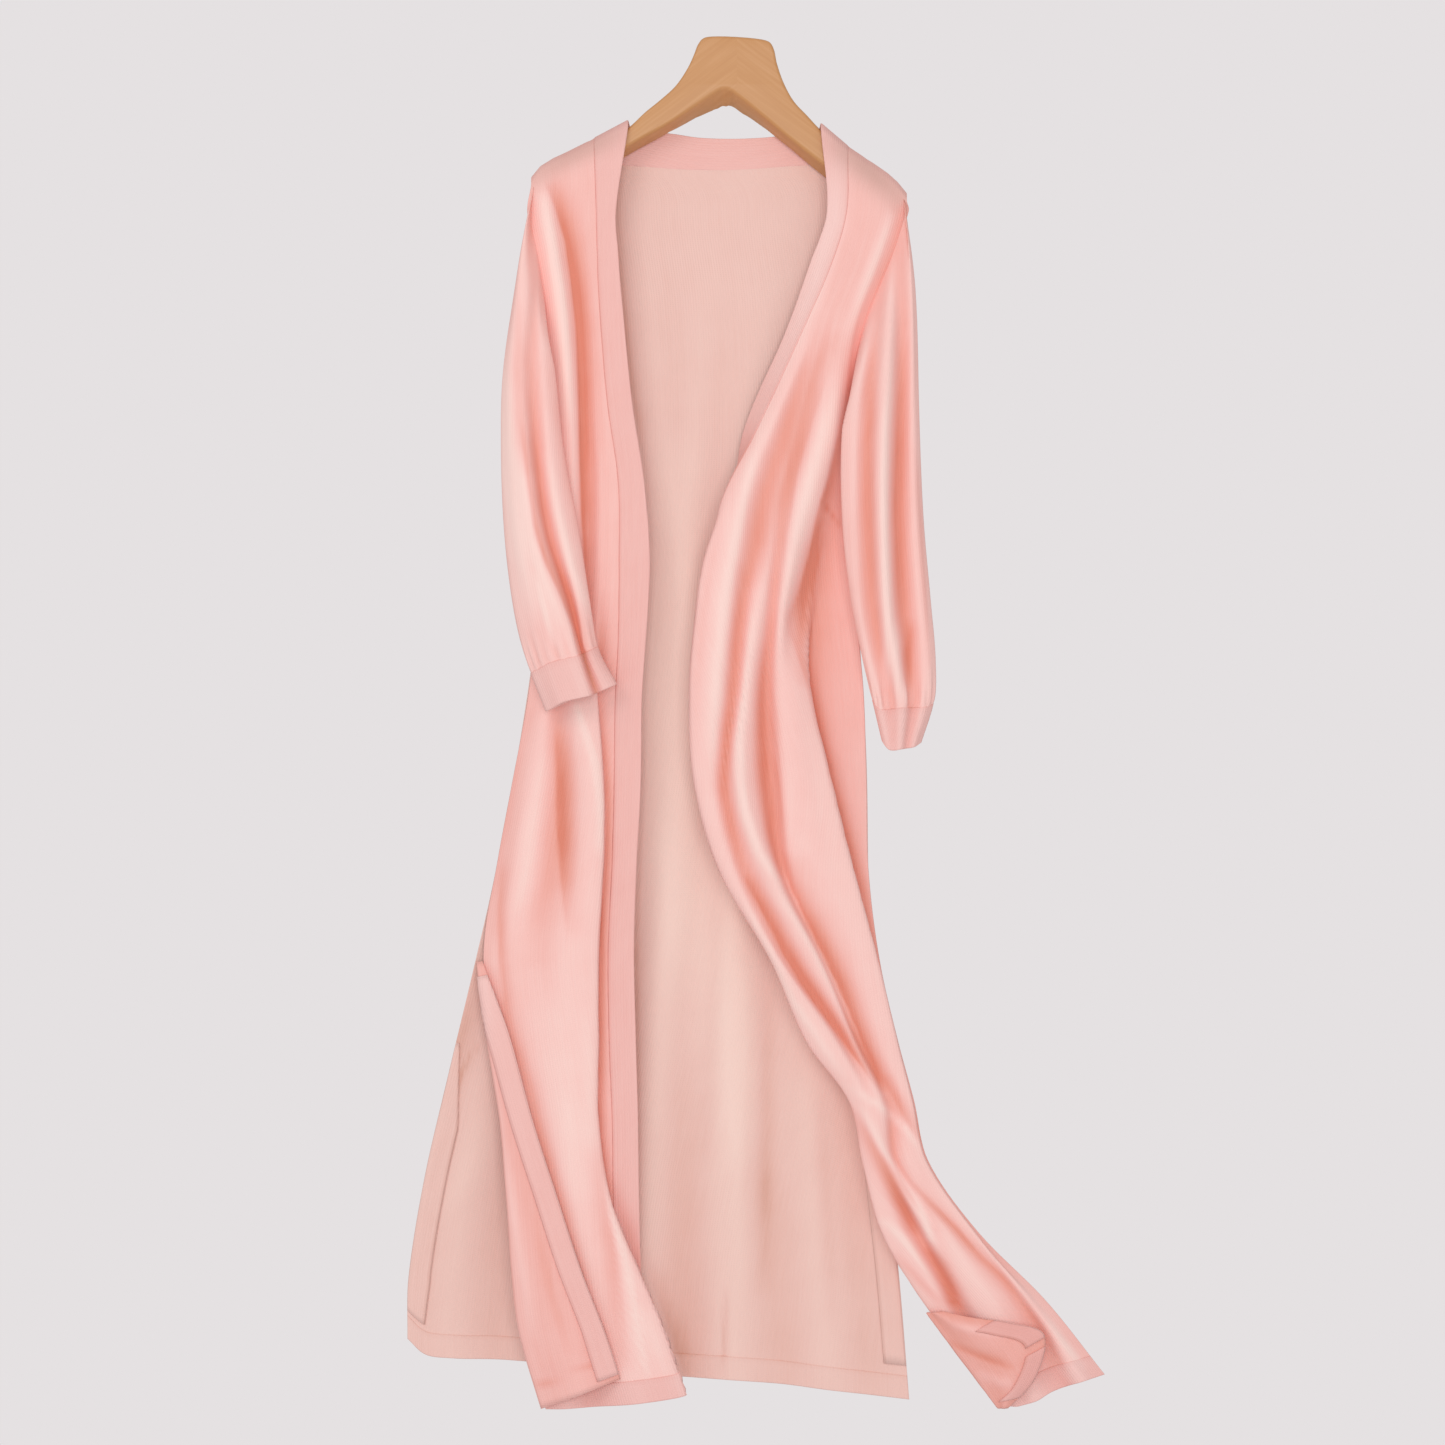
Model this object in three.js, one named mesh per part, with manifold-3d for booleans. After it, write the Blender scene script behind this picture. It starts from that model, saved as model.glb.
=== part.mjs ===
// A long open-front duster cardigan in fine pink knit, hung on a plain wooden hanger.
// Units are millimetres. +X is the viewer's right, the front faces -Y, +Z is up.
// The origin is the mount: the middle of the flat top of the hanger's neck.
import * as THREE from 'three';
import { mergeVertices } from 'three/addons/utils/BufferGeometryUtils.js';
import Module from 'manifold-3d';

// Driving sizes
const CLOTH = 1.6; // wall of the single knit
const DOUBLED = 2.4; // wall of the bands, hems and cuffs, which are knitted double
const SEAM = 0.3; // gap left between two pieces that are sewn together
const HEM_BAND = 24; // height of the doubled hem
const CUFF_HEIGHT = 42; // height of the doubled cuff
const FACING_WIDTH = 23; // width of the facing along a side slit
const ROLL_RADIUS = 4; // radius of the roll where cloth turns over on itself
const CREST = { drop: [0, 3, 10], depth: [1.3, 10.5, 15.5] }; // how cloth rounds over the hanger's arm
const HOOK_HOLE = { radius: 2, depth: 25, sides: 12 };
const FACING_WALL = 1.2; // wall of a strip that lies on a panel
const ON_CLOTH = (CLOTH + FACING_WALL) / 2 + 2 * SEAM; // from a panel's middle to such a strip's middle
const STEPS_ACROSS = 2; // points from one fold line to the next
const ARMHOLE_OUT = 2; // how far outside a panel's side the sleeve starts
const ARMHOLE_LAP = 2.3; // how far the sleeve's start lies over the panel, middle to middle
const ROWS = { back: 24, left: 34, right: 38, sleeve: 14, flap_left: 12, flap_right: 10 }; // rows of points
const ROOT_GAP = { flap_left: 1.5, flap_right: 0.8 }; // how far a flap's start lies inside the front's roll
const SLIT_START = 4; // width of a facing at the top of its slit
const SLIT_WIDENING = 3; // the facing is at full width a third of the way down
const FLAP_SAG = 0.8; // share of a flap's lift that is left at its free edge
const HALVINGS = 30; // steps of a search by halving
const EDGING_ROWS = { facing_flap_left: [1, -2], band_flap_right: [3, 7], hem_flap_right: [7, 10] };
const EDGING_SHARE = 0.95; // an edging covers at most this share of the turned-over cloth

// The tables are measured on a pattern sheet: across from its left side and down from its top,
// with depth towards the viewer. MOUNT_ON_SHEET is where the mount lies on that sheet.
const MOUNT_ON_SHEET = { across: 737, down: 36 };

function onSheet(across, down, depth) {
  return new THREE.Vector3(across - MOUNT_ON_SHEET.across, -depth, MOUNT_ON_SHEET.down - down);
}

// Front on the viewer's left. One row for each fold line, from the side seam to the band's seam.
// across starts at the shoulder and ends at the hem; depth starts at the first inner height.
const FRONT_LEFT = {
  down: [210, 250, 300, 400, 480, 560, 640, 700, 780, 860, 950, 1040, 1120, 1200, 1270, 1330],
  folds: [
    { fold: 'side', top: 175, hem: 1408,
      across: [531, 527, 534, 541, 548, 546, 541, 534, 527, 512, 497, 483, 491, 504, 511, 516, 523, 546],
      depth: [10, 10, 8, 1.5, 1.3, 1.3, 1.3, 1.3, 1.3, 1.3, 4, 10, 14, 18, 20, 20, 20] },
    { fold: 'shoulder_ridge', top: 164, hem: 1407,
      across: [540, 545, 552, 560, 568, 571, 570, 558, 547, 534, 520, 503, 508, 520, 528, 536, 546, 566],
      depth: [18, 18, 17, 17, 15, 11, 9, 11, 14, 15, 12, 13, 18, 22, 26, 26, 26] },
    { fold: 'valley', top: 156, hem: 1405,
      across: [553, 559, 566, 574, 582, 584, 583, 570, 557, 558, 553, 530, 532, 540, 548, 560, 574, 594],
      depth: [13, 11, 9, 8, 8, 8, 8, 10, 11, 12, 15, 18, 21, 23, 24, 24, 24] },
    { fold: 'pleat_ridge', top: 150, hem: 1400,
      across: [566, 569, 577, 583, 589, 592, 591, 582, 576, 590, 588, 575, 574, 574, 584, 602, 622, 640],
      depth: [14, 13, 11, 10, 9, 9, 12, 18, 26, 26, 26, 26, 28, 32, 36, 38, 38] },
    { fold: 'pleat_edge', top: 143, hem: 1392,
      across: [580, 583, 587, 590, 595, 599, 599, 596, 598, 604, 604, 599, 599, 599, 612, 641, 667, 687],
      depth: [15, 15, 14, 13, 13, 13, 15, 18, 20, 22, 22, 22, 23, 26, 30, 32, 30] },
    { fold: 'pleat_tuck', top: 140, hem: 1384,
      across: [586, 588, 591, 594, 599, 605, 605, 600, 592, 590, 590, 587, 587, 588, 592, 597, 598, 600],
      depth: [15, 15, 15, 14, 14, 14, 13, 12, 11, 11, 11, 11, 11, 13, 14, 14, 14] },
    { fold: 'strip', top: 138, hem: 1381,
      across: [591, 592, 594, 596, 603, 612, 612, 609, 607, 606, 604, 602, 602, 604, 606, 609, 612, 620],
      depth: [15, 15, 15, 15, 15, 15, 14, 13, 13, 13, 13, 13, 13, 11, 9, 8, 8] },
    { fold: 'band_seam', top: 136, hem: 1378,
      across: [594, 596, 597, 599, 607, 618, 619, 618, 615, 614, 612, 608, 609, 612, 613, 615, 618, 626],
      depth: [15, 15, 15, 15, 15, 15, 14, 13, 13, 13, 13, 13, 13, 12, 11, 11, 11] },
  ],
};

// Free edge of the band on the viewer's left, at the same heights.
const BAND_LEFT_EDGE = { fold: 'free_edge', top: 118, hem: 1377,
  across: [628, 616, 618, 622, 632, 644, 650, 646, 642, 641, 637, 634, 636, 638, 639, 641, 645, 651],
  depth: [16, 17, 17, 17, 17, 17, 17, 16, 16, 16, 16, 16, 16, 15, 13, 12, 12] };

// Front on the viewer's right, which sweeps across and down to the lower right.
const FRONT_RIGHT = {
  down: [210, 260, 330, 430, 500, 560, 620, 690, 780, 870, 960, 1040, 1100, 1160, 1230, 1300],
  folds: [
    { fold: 'side', top: 191, hem: 1373,
      across: [907, 909, 893, 866, 850, 847, 850, 857, 864, 867, 869, 880, 898, 914, 928, 977, 1046, 1104],
      depth: [10, 10, 8, 1.5, 1.3, 1.3, 1.3, 1.3, 1.3, 1.3, 5, 12, 16, 18, 20, 22, 22] },
    { fold: 'side_tuck', top: 180, hem: 1376,
      across: [898, 899, 884, 858, 845, 836, 826, 813, 800, 810, 838, 866, 886, 905, 920, 968, 1036, 1092],
      depth: [13, 14, 13, 8, 5, 3.5, 4, 6, 6, 7, 10, 16, 22, 25, 27, 28, 28] },
    { fold: 'layer_edge', top: 171, hem: 1379,
      across: [888, 889, 876, 853, 840, 826, 818, 810, 811, 832, 854, 878, 897, 912, 926, 974, 1030, 1080],
      depth: [16, 18, 18, 16, 14, 9, 10, 18, 22, 24, 25, 27, 29, 31, 33, 33, 34] },
    { fold: 'layer_plane', top: 164, hem: 1384,
      across: [878, 880, 868, 846, 834, 820, 811, 801, 801, 814, 834, 858, 882, 904, 918, 966, 1020, 1066],
      depth: [17, 19.5, 21, 24, 24, 14, 14, 27, 29, 30, 30, 31, 31, 34, 33, 28, 27] },
    { fold: 'valley_3b', top: 160, hem: 1390,
      across: [872, 874, 862, 840, 826, 812, 803, 791, 790, 798, 812, 842, 871, 897, 909, 956, 1006, 1050],
      depth: [17, 19, 22, 27, 31, 22, 21, 31, 32, 32, 30, 30, 29, 35, 33, 33, 28] },
    { fold: 'ridge_3', top: 157, hem: 1398,
      across: [867, 869, 857, 833, 817, 800, 790, 781, 779, 784, 793, 830, 864, 891, 902, 945, 988, 1036],
      depth: [17, 19, 22, 27, 34, 34, 33, 31, 31, 31, 29, 28, 28, 33, 36, 37, 32] },
    { fold: 'valley_3', top: 154, hem: 1402,
      across: [863, 865, 852, 827, 803, 786, 777, 772, 767, 771, 783, 824, 858, 887, 896, 936, 972, 1024],
      depth: [16.5, 18, 20.5, 21, 27, 27, 24, 21, 20, 24, 29, 27, 29, 30, 35, 34, 30] },
    { fold: 'ridge_2', top: 152, hem: 1404,
      across: [860, 862, 848, 822, 795, 776, 768, 757, 747, 740, 770, 817, 853, 880, 889, 927, 962, 1016],
      depth: [16.5, 18, 20.5, 22, 29, 31, 36, 38, 41, 40, 37, 34, 37, 35, 36, 28, 30] },
    { fold: 'valley_2', top: 150, hem: 1404,
      across: [857, 858, 845, 817, 783, 762, 751, 742, 736, 725, 748, 788, 843, 872, 882, 917, 953, 1010],
      depth: [16, 17, 19.5, 19, 24, 26, 27, 29, 30, 31, 31, 30, 38, 37, 25, 24, 28] },
    { fold: 'ridge_1', top: 148, hem: 1404,
      across: [854, 855, 842, 813, 770, 742, 731, 725, 717, 710, 731, 778, 833, 863, 872, 900, 940, 1005],
      depth: [16, 16.5, 19, 24, 33, 36, 38, 40, 37, 37, 38, 39, 38, 36, 33, 32, 28] },
    { fold: 'leading_roll', top: 146, hem: 1402,
      across: [851, 851, 838, 808, 763, 727, 704, 695, 689, 693, 719, 771, 806, 849, 862, 881, 922.5, 1000],
      depth: [15.5, 16, 18, 22, 29, 30, 30, 30, 30, 30, 30, 30, 30, 30, 29, 26, 24] },
    { fold: 'band_seam', top: 144, hem: 1398,
      across: [848, 847, 833, 803, 757, 722, 711, 706, 703, 707, 733, 786, 822, 864, 876, 893, 942, 1010],
      depth: [15, 15, 16, 18, 25, 20, 18, 18, 18, 18, 18, 18, 18, 18, 18, 16, 16] },
  ],
};

// Free edge of the band on the viewer's right: it faces the viewer down to the chest and then
// rolls under, so that it runs back behind the leading roll.
const BAND_RIGHT_EDGE = { fold: 'free_edge', top: 121, hem: 1384,
  across: [821, 827, 811, 786, 744, 736, 733, 731, 728, 732, 759, 812, 848, 886, 898, 917, 960, 1022],
  depth: [13, 4, 1, -3, 4, 3, 3, 4, 4, 4, 6, 8, 10, 11, 12, 12, 12] };

// Back. One row for each fold line: its share of the way from the left side to the right side,
// where it starts at the shoulder or neck, where its hem ends, and how far it waves at the hem.
const BACK = {
  down: [210, 300, 420, 520, 640, 760, 880, 980, 1080, 1180, 1280],
  leftSide: [529, 541, 548, 544, 534, 516, 493, 470, 446, 423, 407, 406],
  rightSide: [909, 878, 853, 847, 860, 867, 869, 872, 880, 889, 900, 910],
  middleDepth: [-15, -14, -14, -14, -13, -13, -12, -12, -11, -11, -11, -11],
  sideDepth: [-10, -8, -1.5, -1.3, -1.3, -1.3, -1.3, -4, -5, -5, -5, -5],
  folds: [
    { fold: 'left_side', share: 0, top: [533, 177], crest: 1, edge: 1, hem: 1341, wave: 0 },
    { fold: 'left_corner', share: 0.035, top: [543, 166], crest: 1, edge: 0.7, hem: 1357, wave: 0 },
    { fold: 'left_1', share: 0.09, top: [558, 154], crest: 1, edge: 0.3, hem: 1361, wave: 3 },
    { fold: 'left_2', share: 0.18, top: [588, 141], crest: 1, edge: 0, hem: 1363, wave: -3 },
    { fold: 'left_3', share: 0.28, top: [603, 152], crest: 0, edge: 0, hem: 1366, wave: 4 },
    { fold: 'middle_1', share: 0.4, top: [650, 162], crest: 0, edge: 0, hem: 1372, wave: -4 },
    { fold: 'middle_2', share: 0.48, top: [695, 164.4], crest: 0, edge: 0, hem: 1377, wave: 5 },
    { fold: 'middle_3', share: 0.56, top: [737, 164.4], crest: 0, edge: 0, hem: 1381, wave: -5 },
    { fold: 'middle_4', share: 0.65, top: [785, 161.3], crest: 0, edge: 0, hem: 1383, wave: 5 },
    { fold: 'right_3', share: 0.75, top: [838, 156], crest: 0, edge: 0, hem: 1388, wave: -4 },
    { fold: 'right_2', share: 0.84, top: [866, 155], crest: 1, edge: 0, hem: 1393, wave: 4 },
    { fold: 'right_1', share: 0.92, top: [888, 171], crest: 1, edge: 0.3, hem: 1398, wave: -2 },
    { fold: 'right_side', share: 1, top: [907, 193], crest: 1, edge: 1, hem: 1402, wave: 0 },
  ],
};

// Band at the back of the neck, from the left shoulder round behind the hanger to the right one.
const NECK_BAND = [
  { free: [628, 118, -1.6], seam: [596, 137, -1.6] },
  { free: [629, 121, -10.8], seam: [597, 140, -10.8] },
  { free: [631, 126, -15.5], seam: [600, 148, -14.5] },
  { free: [648, 127, -17], seam: [618, 156, -16] },
  { free: [672, 129, -18], seam: [650, 160, -16] },
  { free: [700, 133, -18], seam: [692, 163, -16] },
  { free: [737, 134, -18], seam: [737, 163, -16] },
  { free: [773, 132, -18], seam: [783, 160, -16] },
  { free: [798, 128, -17], seam: [824, 156, -16] },
  { free: [817, 127, -15.5], seam: [844, 152, -14.5] },
  { free: [820, 124, -10.8], seam: [847, 147, -10.8] },
  { free: [821, 121, -1.6], seam: [848, 144, -1.6] },
];

// Sleeves. One row for each fold line round the tube. armhole says on which panel's side the line
// starts, and at which height, where tip is the shoulder's end; bend and hem are [across, down, depth].
const SLEEVE_LEFT = {
  down: [370, 450, 530, 600, 650],
  folds: [
    { fold: 'outer', armhole: ['tip', 177], bend: [520, 262, 14], hem: [547, 711, 28],
      across: [504, 502, 505, 513, 524], depth: [24, 27, 27, 27, 27] },
    { fold: 'front_light', armhole: ['front', 198], bend: [520, 275, 31], hem: [564, 702, 44],
      across: [512, 514, 521, 535, 548], depth: [38, 43, 46, 46, 44] },
    { fold: 'front_ridge', armhole: ['front', 222], bend: [527, 290, 34], hem: [589, 696, 47],
      across: [522, 528, 540, 562, 577], depth: [41, 48, 50, 50, 48] },
    { fold: 'valley', armhole: ['front', 246], bend: [535, 306, 30], hem: [597, 693, 38],
      across: [533, 538, 549, 571, 583], depth: [35, 36, 37, 37, 37] },
    { fold: 'inner_ridge', armhole: ['front', 270], bend: [541, 320, 31], hem: [606, 689, 42],
      across: [545, 551, 563, 579, 589], depth: [37, 41, 43, 43, 42] },
    { fold: 'inner', armhole: ['front', 297], bend: [549, 340, 26], hem: [617, 684, 33],
      across: [555, 564, 579, 590, 599], depth: [28, 29, 30, 31, 31] },
    { fold: 'back_inner', armhole: ['front', 325], bend: [543, 354, 21], hem: [600, 688, 26],
      across: [545, 550, 562, 571, 580], depth: [21, 21, 22, 23, 24] },
    { fold: 'back_middle', armhole: ['back', 292], bend: [531, 340, 8], hem: [575, 698, 23],
      across: [529, 530, 537, 546, 556], depth: [17, 19, 20, 20, 20] },
    { fold: 'back_outer', armhole: ['back', 225], bend: [522, 300, -1], hem: [558, 706, 22],
      across: [514, 513, 518, 526, 537], depth: [14, 18, 18, 18, 19] },
  ],
};

const SLEEVE_RIGHT = {
  down: [430, 520, 600, 660, 700],
  folds: [
    { fold: 'outer', armhole: ['tip', 193], bend: [915, 290, 18], hem: [920, 742, 25],
      across: [919, 923, 930, 935, 933], depth: [22, 22, 22, 22, 22] },
    { fold: 'outer_ridge', armhole: ['front', 207], bend: [910, 320, 30], hem: [912, 747, 35],
      across: [912, 915, 921, 926, 924], depth: [33, 33, 33, 33, 33] },
    { fold: 'outer_valley', armhole: ['front', 240], bend: [900, 325, 27], hem: [905, 748, 34],
      across: [900, 898, 902, 909, 912], depth: [27, 27, 27, 28, 30] },
    { fold: 'main_ridge', armhole: ['front', 262], bend: [888, 335, 38], hem: [899, 749, 39],
      across: [882, 881, 885, 894, 901], depth: [43, 43, 43, 42, 40] },
    { fold: 'inner_valley', armhole: ['front', 290], bend: [876, 345, 30], hem: [893, 750, 36],
      across: [867, 868, 872, 881, 890], depth: [33, 33, 33, 33, 34] },
    { fold: 'inner_ridge', armhole: ['front', 320], bend: [861, 365, 34], hem: [888, 749, 35],
      across: [853, 852, 857, 868, 877], depth: [37, 37, 37, 37, 37] },
    { fold: 'inner', armhole: ['front', 365], bend: [850, 398, 26], hem: [882, 739, 29],
      across: [842, 842, 851, 863, 873], depth: [27, 27, 27, 27, 27] },
    { fold: 'back_inner', armhole: ['back', 396], bend: [862, 412, 12], hem: [892, 745, 22],
      across: [860, 860, 868, 878, 885], depth: [19, 18, 18, 18, 18] },
    { fold: 'back_middle', armhole: ['back', 335], bend: [884, 385, 0], hem: [903, 746, 20],
      across: [885, 887, 894, 903, 907], depth: [14, 14, 14, 14, 15] },
    { fold: 'back_outer', armhole: ['back', 228], bend: [906, 330, -3], hem: [913, 744, 20],
      across: [908, 912, 918, 922, 921], depth: [12, 12, 12, 13, 14] },
  ],
};

// Turned-over cloth. fold is on the fold line and edge on the free edge, both [across, down].
const FLAP_LEFT = [
  { fold: [476, 962], edge: [482, 961], depth: 4, lift: 0 },
  { fold: [486, 1035], edge: [508, 1030], depth: 9, lift: 1 },
  { fold: [500, 1120], edge: [533, 1119], depth: 14, lift: 3 },
  { fold: [507, 1200], edge: [559, 1199], depth: 18, lift: 4 },
  { fold: [512, 1270], edge: [582, 1268], depth: 20, lift: 9 },
  { fold: [519, 1330], edge: [605, 1327], depth: 20, lift: 12 },
  { fold: [541, 1407], edge: [621, 1375], depth: 20, lift: 14 },
];
const FLAP_RIGHT = [
  { fold: [918, 1300], edge: [925, 1304], depth: 26, lift: 1 },
  { fold: [937, 1326], edge: [966, 1313], depth: 26, lift: 8 },
  { fold: [954, 1349], edge: [1009, 1319], depth: 25.5, lift: 12 },
  { fold: [970.5, 1371], edge: [1042, 1330], depth: 25, lift: 13 },
  { fold: [985, 1390], edge: [1034, 1372], depth: 24.5, lift: 10 },
  { fold: [997, 1406], edge: [1007, 1405], depth: 24, lift: 3 },
];

// Hanger outline, [across, down]: its top from left tip to right tip, and its lower front edge.
const HANGER = {
  halfThickness: 12,
  bevel: 4,
  underside: 8, // how much lower the back of the underside lies than its front
  top: [[541, 194], [546, 185], [564, 169], [594, 152], [629, 126], [645, 111], [661, 98], [676, 84],
    [689, 66], [696, 50], [702, 36], [772, 36], [777, 61], [784, 82], [794, 100], [807, 114],
    [820, 128], [845, 152], [870, 169], [885, 182], [892, 194]],
  under: [[888, 201], [869, 191], [826, 165], [791, 138], [767, 118], [743, 98], [726, 90], [696, 105],
    [669, 123], [619, 151], [580, 179], [551, 198]],
};

// Curve helpers

// Cubic through values at knots, with slopes taken from the neighbours on both sides.
function throughKnots(knots, values, at) {
  const last = knots.length - 1;
  let i = 0;
  while (i < last - 1 && at > knots[i + 1]) i += 1;
  const slope = (k) => {
    const a = Math.max(k - 1, 0);
    const b = Math.min(k + 1, last);
    return (values[b] - values[a]) / (knots[b] - knots[a]);
  };
  const span = knots[i + 1] - knots[i];
  const t = (at - knots[i]) / span;
  const t2 = t * t;
  const t3 = t2 * t;
  return (2 * t3 - 3 * t2 + 1) * values[i] + (t3 - 2 * t2 + t) * span * slope(i)
    + (3 * t2 - 2 * t3) * values[i + 1] + (t3 - t2) * span * slope(i + 1);
}

// A fold line from its list of [across, down, depth] stations. A place on it is a station number
// with a fraction: 2.5 is half way from station 2 to station 3.
function foldLine(stations) {
  const knots = [0];
  for (let i = 1; i < stations.length; i += 1) {
    const [a, b] = [stations[i - 1], stations[i]];
    knots.push(knots[i - 1] + Math.hypot(b[0] - a[0], b[1] - a[1], b[2] - a[2]));
  }
  const last = knots.length - 1;
  const at = (station) => {
    const i = Math.min(Math.floor(station), last - 1);
    const distance = THREE.MathUtils.lerp(knots[i], knots[i + 1], station - i);
    return [0, 1, 2].map((k) => throughKnots(knots, stations.map((s) => s[k]), distance));
  };
  const beforeEnd = (distance) => last - distance / (knots[last] - knots[last - 1]);
  return { at, beforeEnd, last };
}

// Stations of a front's fold: over the hanger's arm, then down the inner heights to the hem.
function frontStations(down, fold) {
  const crest = CREST.drop.map((drop, i) => [fold.across[0], fold.top + drop, CREST.depth[i]]);
  const inner = down.map((height, i) => [fold.across[i + 1], height, fold.depth[i]]);
  const hem = [fold.across[down.length + 1], fold.hem, fold.depth[down.length]];
  return [...crest, ...inner, hem];
}

function backStations(fold) {
  const inner = BACK.down.map((height, i) => backStation(fold, i, height));
  const hem = backStation(fold, BACK.down.length, fold.hem);
  const crest = CREST.drop.map((drop, i) => {
    const depth = fold.crest ? -CREST.depth[i] : -CREST.depth[2];
    return [fold.top[0], fold.top[1] + drop, depth];
  });
  return [...crest, ...inner, hem];
}

function backStation(fold, i, height) {
  const across = THREE.MathUtils.lerp(BACK.leftSide[i], BACK.rightSide[i], fold.share);
  const wave = fold.wave * i / BACK.down.length;
  return [across, height, THREE.MathUtils.lerp(BACK.middleDepth[i] + wave, BACK.sideDepth[i], fold.edge)];
}

function sleeveStations(down, fold, sides, outwards) {
  const [panel, height] = fold.armhole;
  const lap = { front: ARMHOLE_LAP, back: -ARMHOLE_LAP, tip: 0 }[panel];
  const side = sides[panel === 'back' ? 'back' : 'front'];
  const [across, , depth] = side.at(placeAtHeight(side, height));
  const top = [across + outwards * ARMHOLE_OUT, height, panel === 'tip' ? 0 : depth + lap];
  return [top, fold.bend, ...down.map((level, i) => [fold.across[i], level, fold.depth[i]]), fold.hem];
}

// Place on a fold line at a height on the sheet, found by halving
function placeAtHeight(line, height) {
  let [low, high] = [0, line.last];
  for (let step = 0; step < HALVINGS; step += 1) {
    const middle = (low + high) / 2;
    if (line.at(middle)[1] < height) low = middle;
    else high = middle;
  }
  return low;
}

// Points of one section, on a smooth curve through the fold lines' points.
function section(points, stepsAcross, closed) {
  const curve = new THREE.CatmullRomCurve3(points.map((p) => onSheet(...p)), closed, 'centripetal');
  const steps = (closed ? points.length : points.length - 1) * stepsAcross;
  const count = closed ? steps : steps + 1;
  return Array.from({ length: count }, (_, i) => curve.getPoint(i / steps));
}

// Grid of a panel, with a section through the places that placesOn gives on each fold line.
function panelGrid(lines, placesOn, closed) {
  const places = lines.map(placesOn);
  const throughRow = (r) => lines.map((line, i) => line.at(places[i][r]));
  return places[0].map((_, r) => section(throughRow(r), STEPS_ACROSS, closed));
}

function evenly(from, to, steps) {
  return Array.from({ length: steps + 1 }, (_, i) => THREE.MathUtils.lerp(from, to, i / steps));
}

// Places on a fold line: every station of the crest over the arm, then even steps to the end.
function fromCrest(end, steps) {
  const lastOfCrest = CREST.drop.length - 1;
  return [...evenly(0, lastOfCrest, lastOfCrest).slice(0, -1), ...evenly(lastOfCrest, end, steps)];
}

const bandPlaces = (band, steps) => (line) => evenly(line.beforeEnd(band), line.last, steps);

// Wall of cloth on both sides of a grid of points
function wall(grid, thickness, closed, shift = 0) {
  const rows = grid.length;
  const cols = grid[0].length;
  const wrap = (c) => (c + cols) % cols;
  const normal = (r, c) => {
    const [up, lower] = [grid[Math.max(r - 1, 0)][c], grid[Math.min(r + 1, rows - 1)][c]];
    const left = closed ? grid[r][wrap(c - 1)] : grid[r][Math.max(c - 1, 0)];
    const right = closed ? grid[r][wrap(c + 1)] : grid[r][Math.min(c + 1, cols - 1)];
    return lower.clone().sub(up).cross(right.clone().sub(left)).normalize();
  };
  const corners = [];
  for (const side of [0.5, -0.5]) {
    for (let r = 0; r < rows; r += 1) {
      for (let c = 0; c < cols; c += 1) {
        const moved = grid[r][c].clone().addScaledVector(normal(r, c), side * thickness + shift);
        corners.push(moved);
      }
    }
  }
  const at = (face, r, c) => face * rows * cols + r * cols + wrap(c);
  const faces = [];
  const quad = (a, b, c, d) => faces.push([a, b, c], [a, c, d]);
  const lastCol = closed ? cols : cols - 1;
  for (let r = 0; r < rows - 1; r += 1) {
    for (let c = 0; c < lastCol; c += 1) {
      quad(at(0, r, c), at(0, r + 1, c), at(0, r + 1, c + 1), at(0, r, c + 1));
      quad(at(1, r, c), at(1, r, c + 1), at(1, r + 1, c + 1), at(1, r + 1, c));
    }
    if (!closed) {
      quad(at(0, r, 0), at(1, r, 0), at(1, r + 1, 0), at(0, r + 1, 0));
      quad(at(0, r, cols - 1), at(0, r + 1, cols - 1), at(1, r + 1, cols - 1), at(1, r, cols - 1));
    }
  }
  for (let c = 0; c < lastCol; c += 1) {
    quad(at(0, 0, c), at(0, 0, c + 1), at(1, 0, c + 1), at(1, 0, c));
    quad(at(0, rows - 1, c), at(1, rows - 1, c), at(1, rows - 1, c + 1), at(0, rows - 1, c + 1));
  }
  return solid(corners, faces);
}

// Closed mesh from corners and triangles, turned so that its faces point out
function solid(corners, faces) {
  const volume = faces.reduce((sum, [a, b, c]) => (
    sum + corners[a].dot(corners[b].clone().cross(corners[c]))), 0);
  const outward = volume > 0 ? faces : faces.map(([a, b, c]) => [a, c, b]);
  const geometry = new THREE.BufferGeometry();
  geometry.setAttribute('position', new THREE.Float32BufferAttribute(corners.flatMap((p) => p.toArray()), 3));
  geometry.setIndex(outward.flat());
  return geometry;
}

// Materials
const knit = (color) => new THREE.MeshStandardMaterial({ color, roughness: 0.85, metalness: 0 });
const wood = () => new THREE.MeshStandardMaterial({ color: '#cb9a64', roughness: 0.5, metalness: 0 });
const KNIT_PINK = '#f2b8ae';
const KNIT_DOUBLED = '#e8b4b0';
const KNIT_INSIDE = '#e8c4bc';

const wasm = await Module();
wasm.setup();
const garment = new THREE.Group();

function addPiece(name, geometry, material) {
  const piece = new THREE.Mesh(geometry, material);
  piece.name = name;
  garment.add(piece);
}

// Fronts, their hems and their bands
function addFront(side, table, bandEdge) {
  const rows = ROWS[side];
  const lines = table.folds.map((fold) => foldLine(frontStations(table.down, fold)));
  const body = (line) => fromCrest(line.beforeEnd(HEM_BAND + 2 * SEAM), rows);
  addPiece(`front_${side}`, wall(panelGrid(lines, body, false), CLOTH, false), knit(KNIT_PINK));
  const hem = panelGrid(lines, bandPlaces(HEM_BAND, 1), false);
  addPiece(`hem_front_${side}`, wall(hem, DOUBLED, false), knit(KNIT_DOUBLED));
  addPiece(`band_${side}`, wall(bandGrid(table, bandEdge, rows), DOUBLED, false), knit(KNIT_DOUBLED));
}

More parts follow.
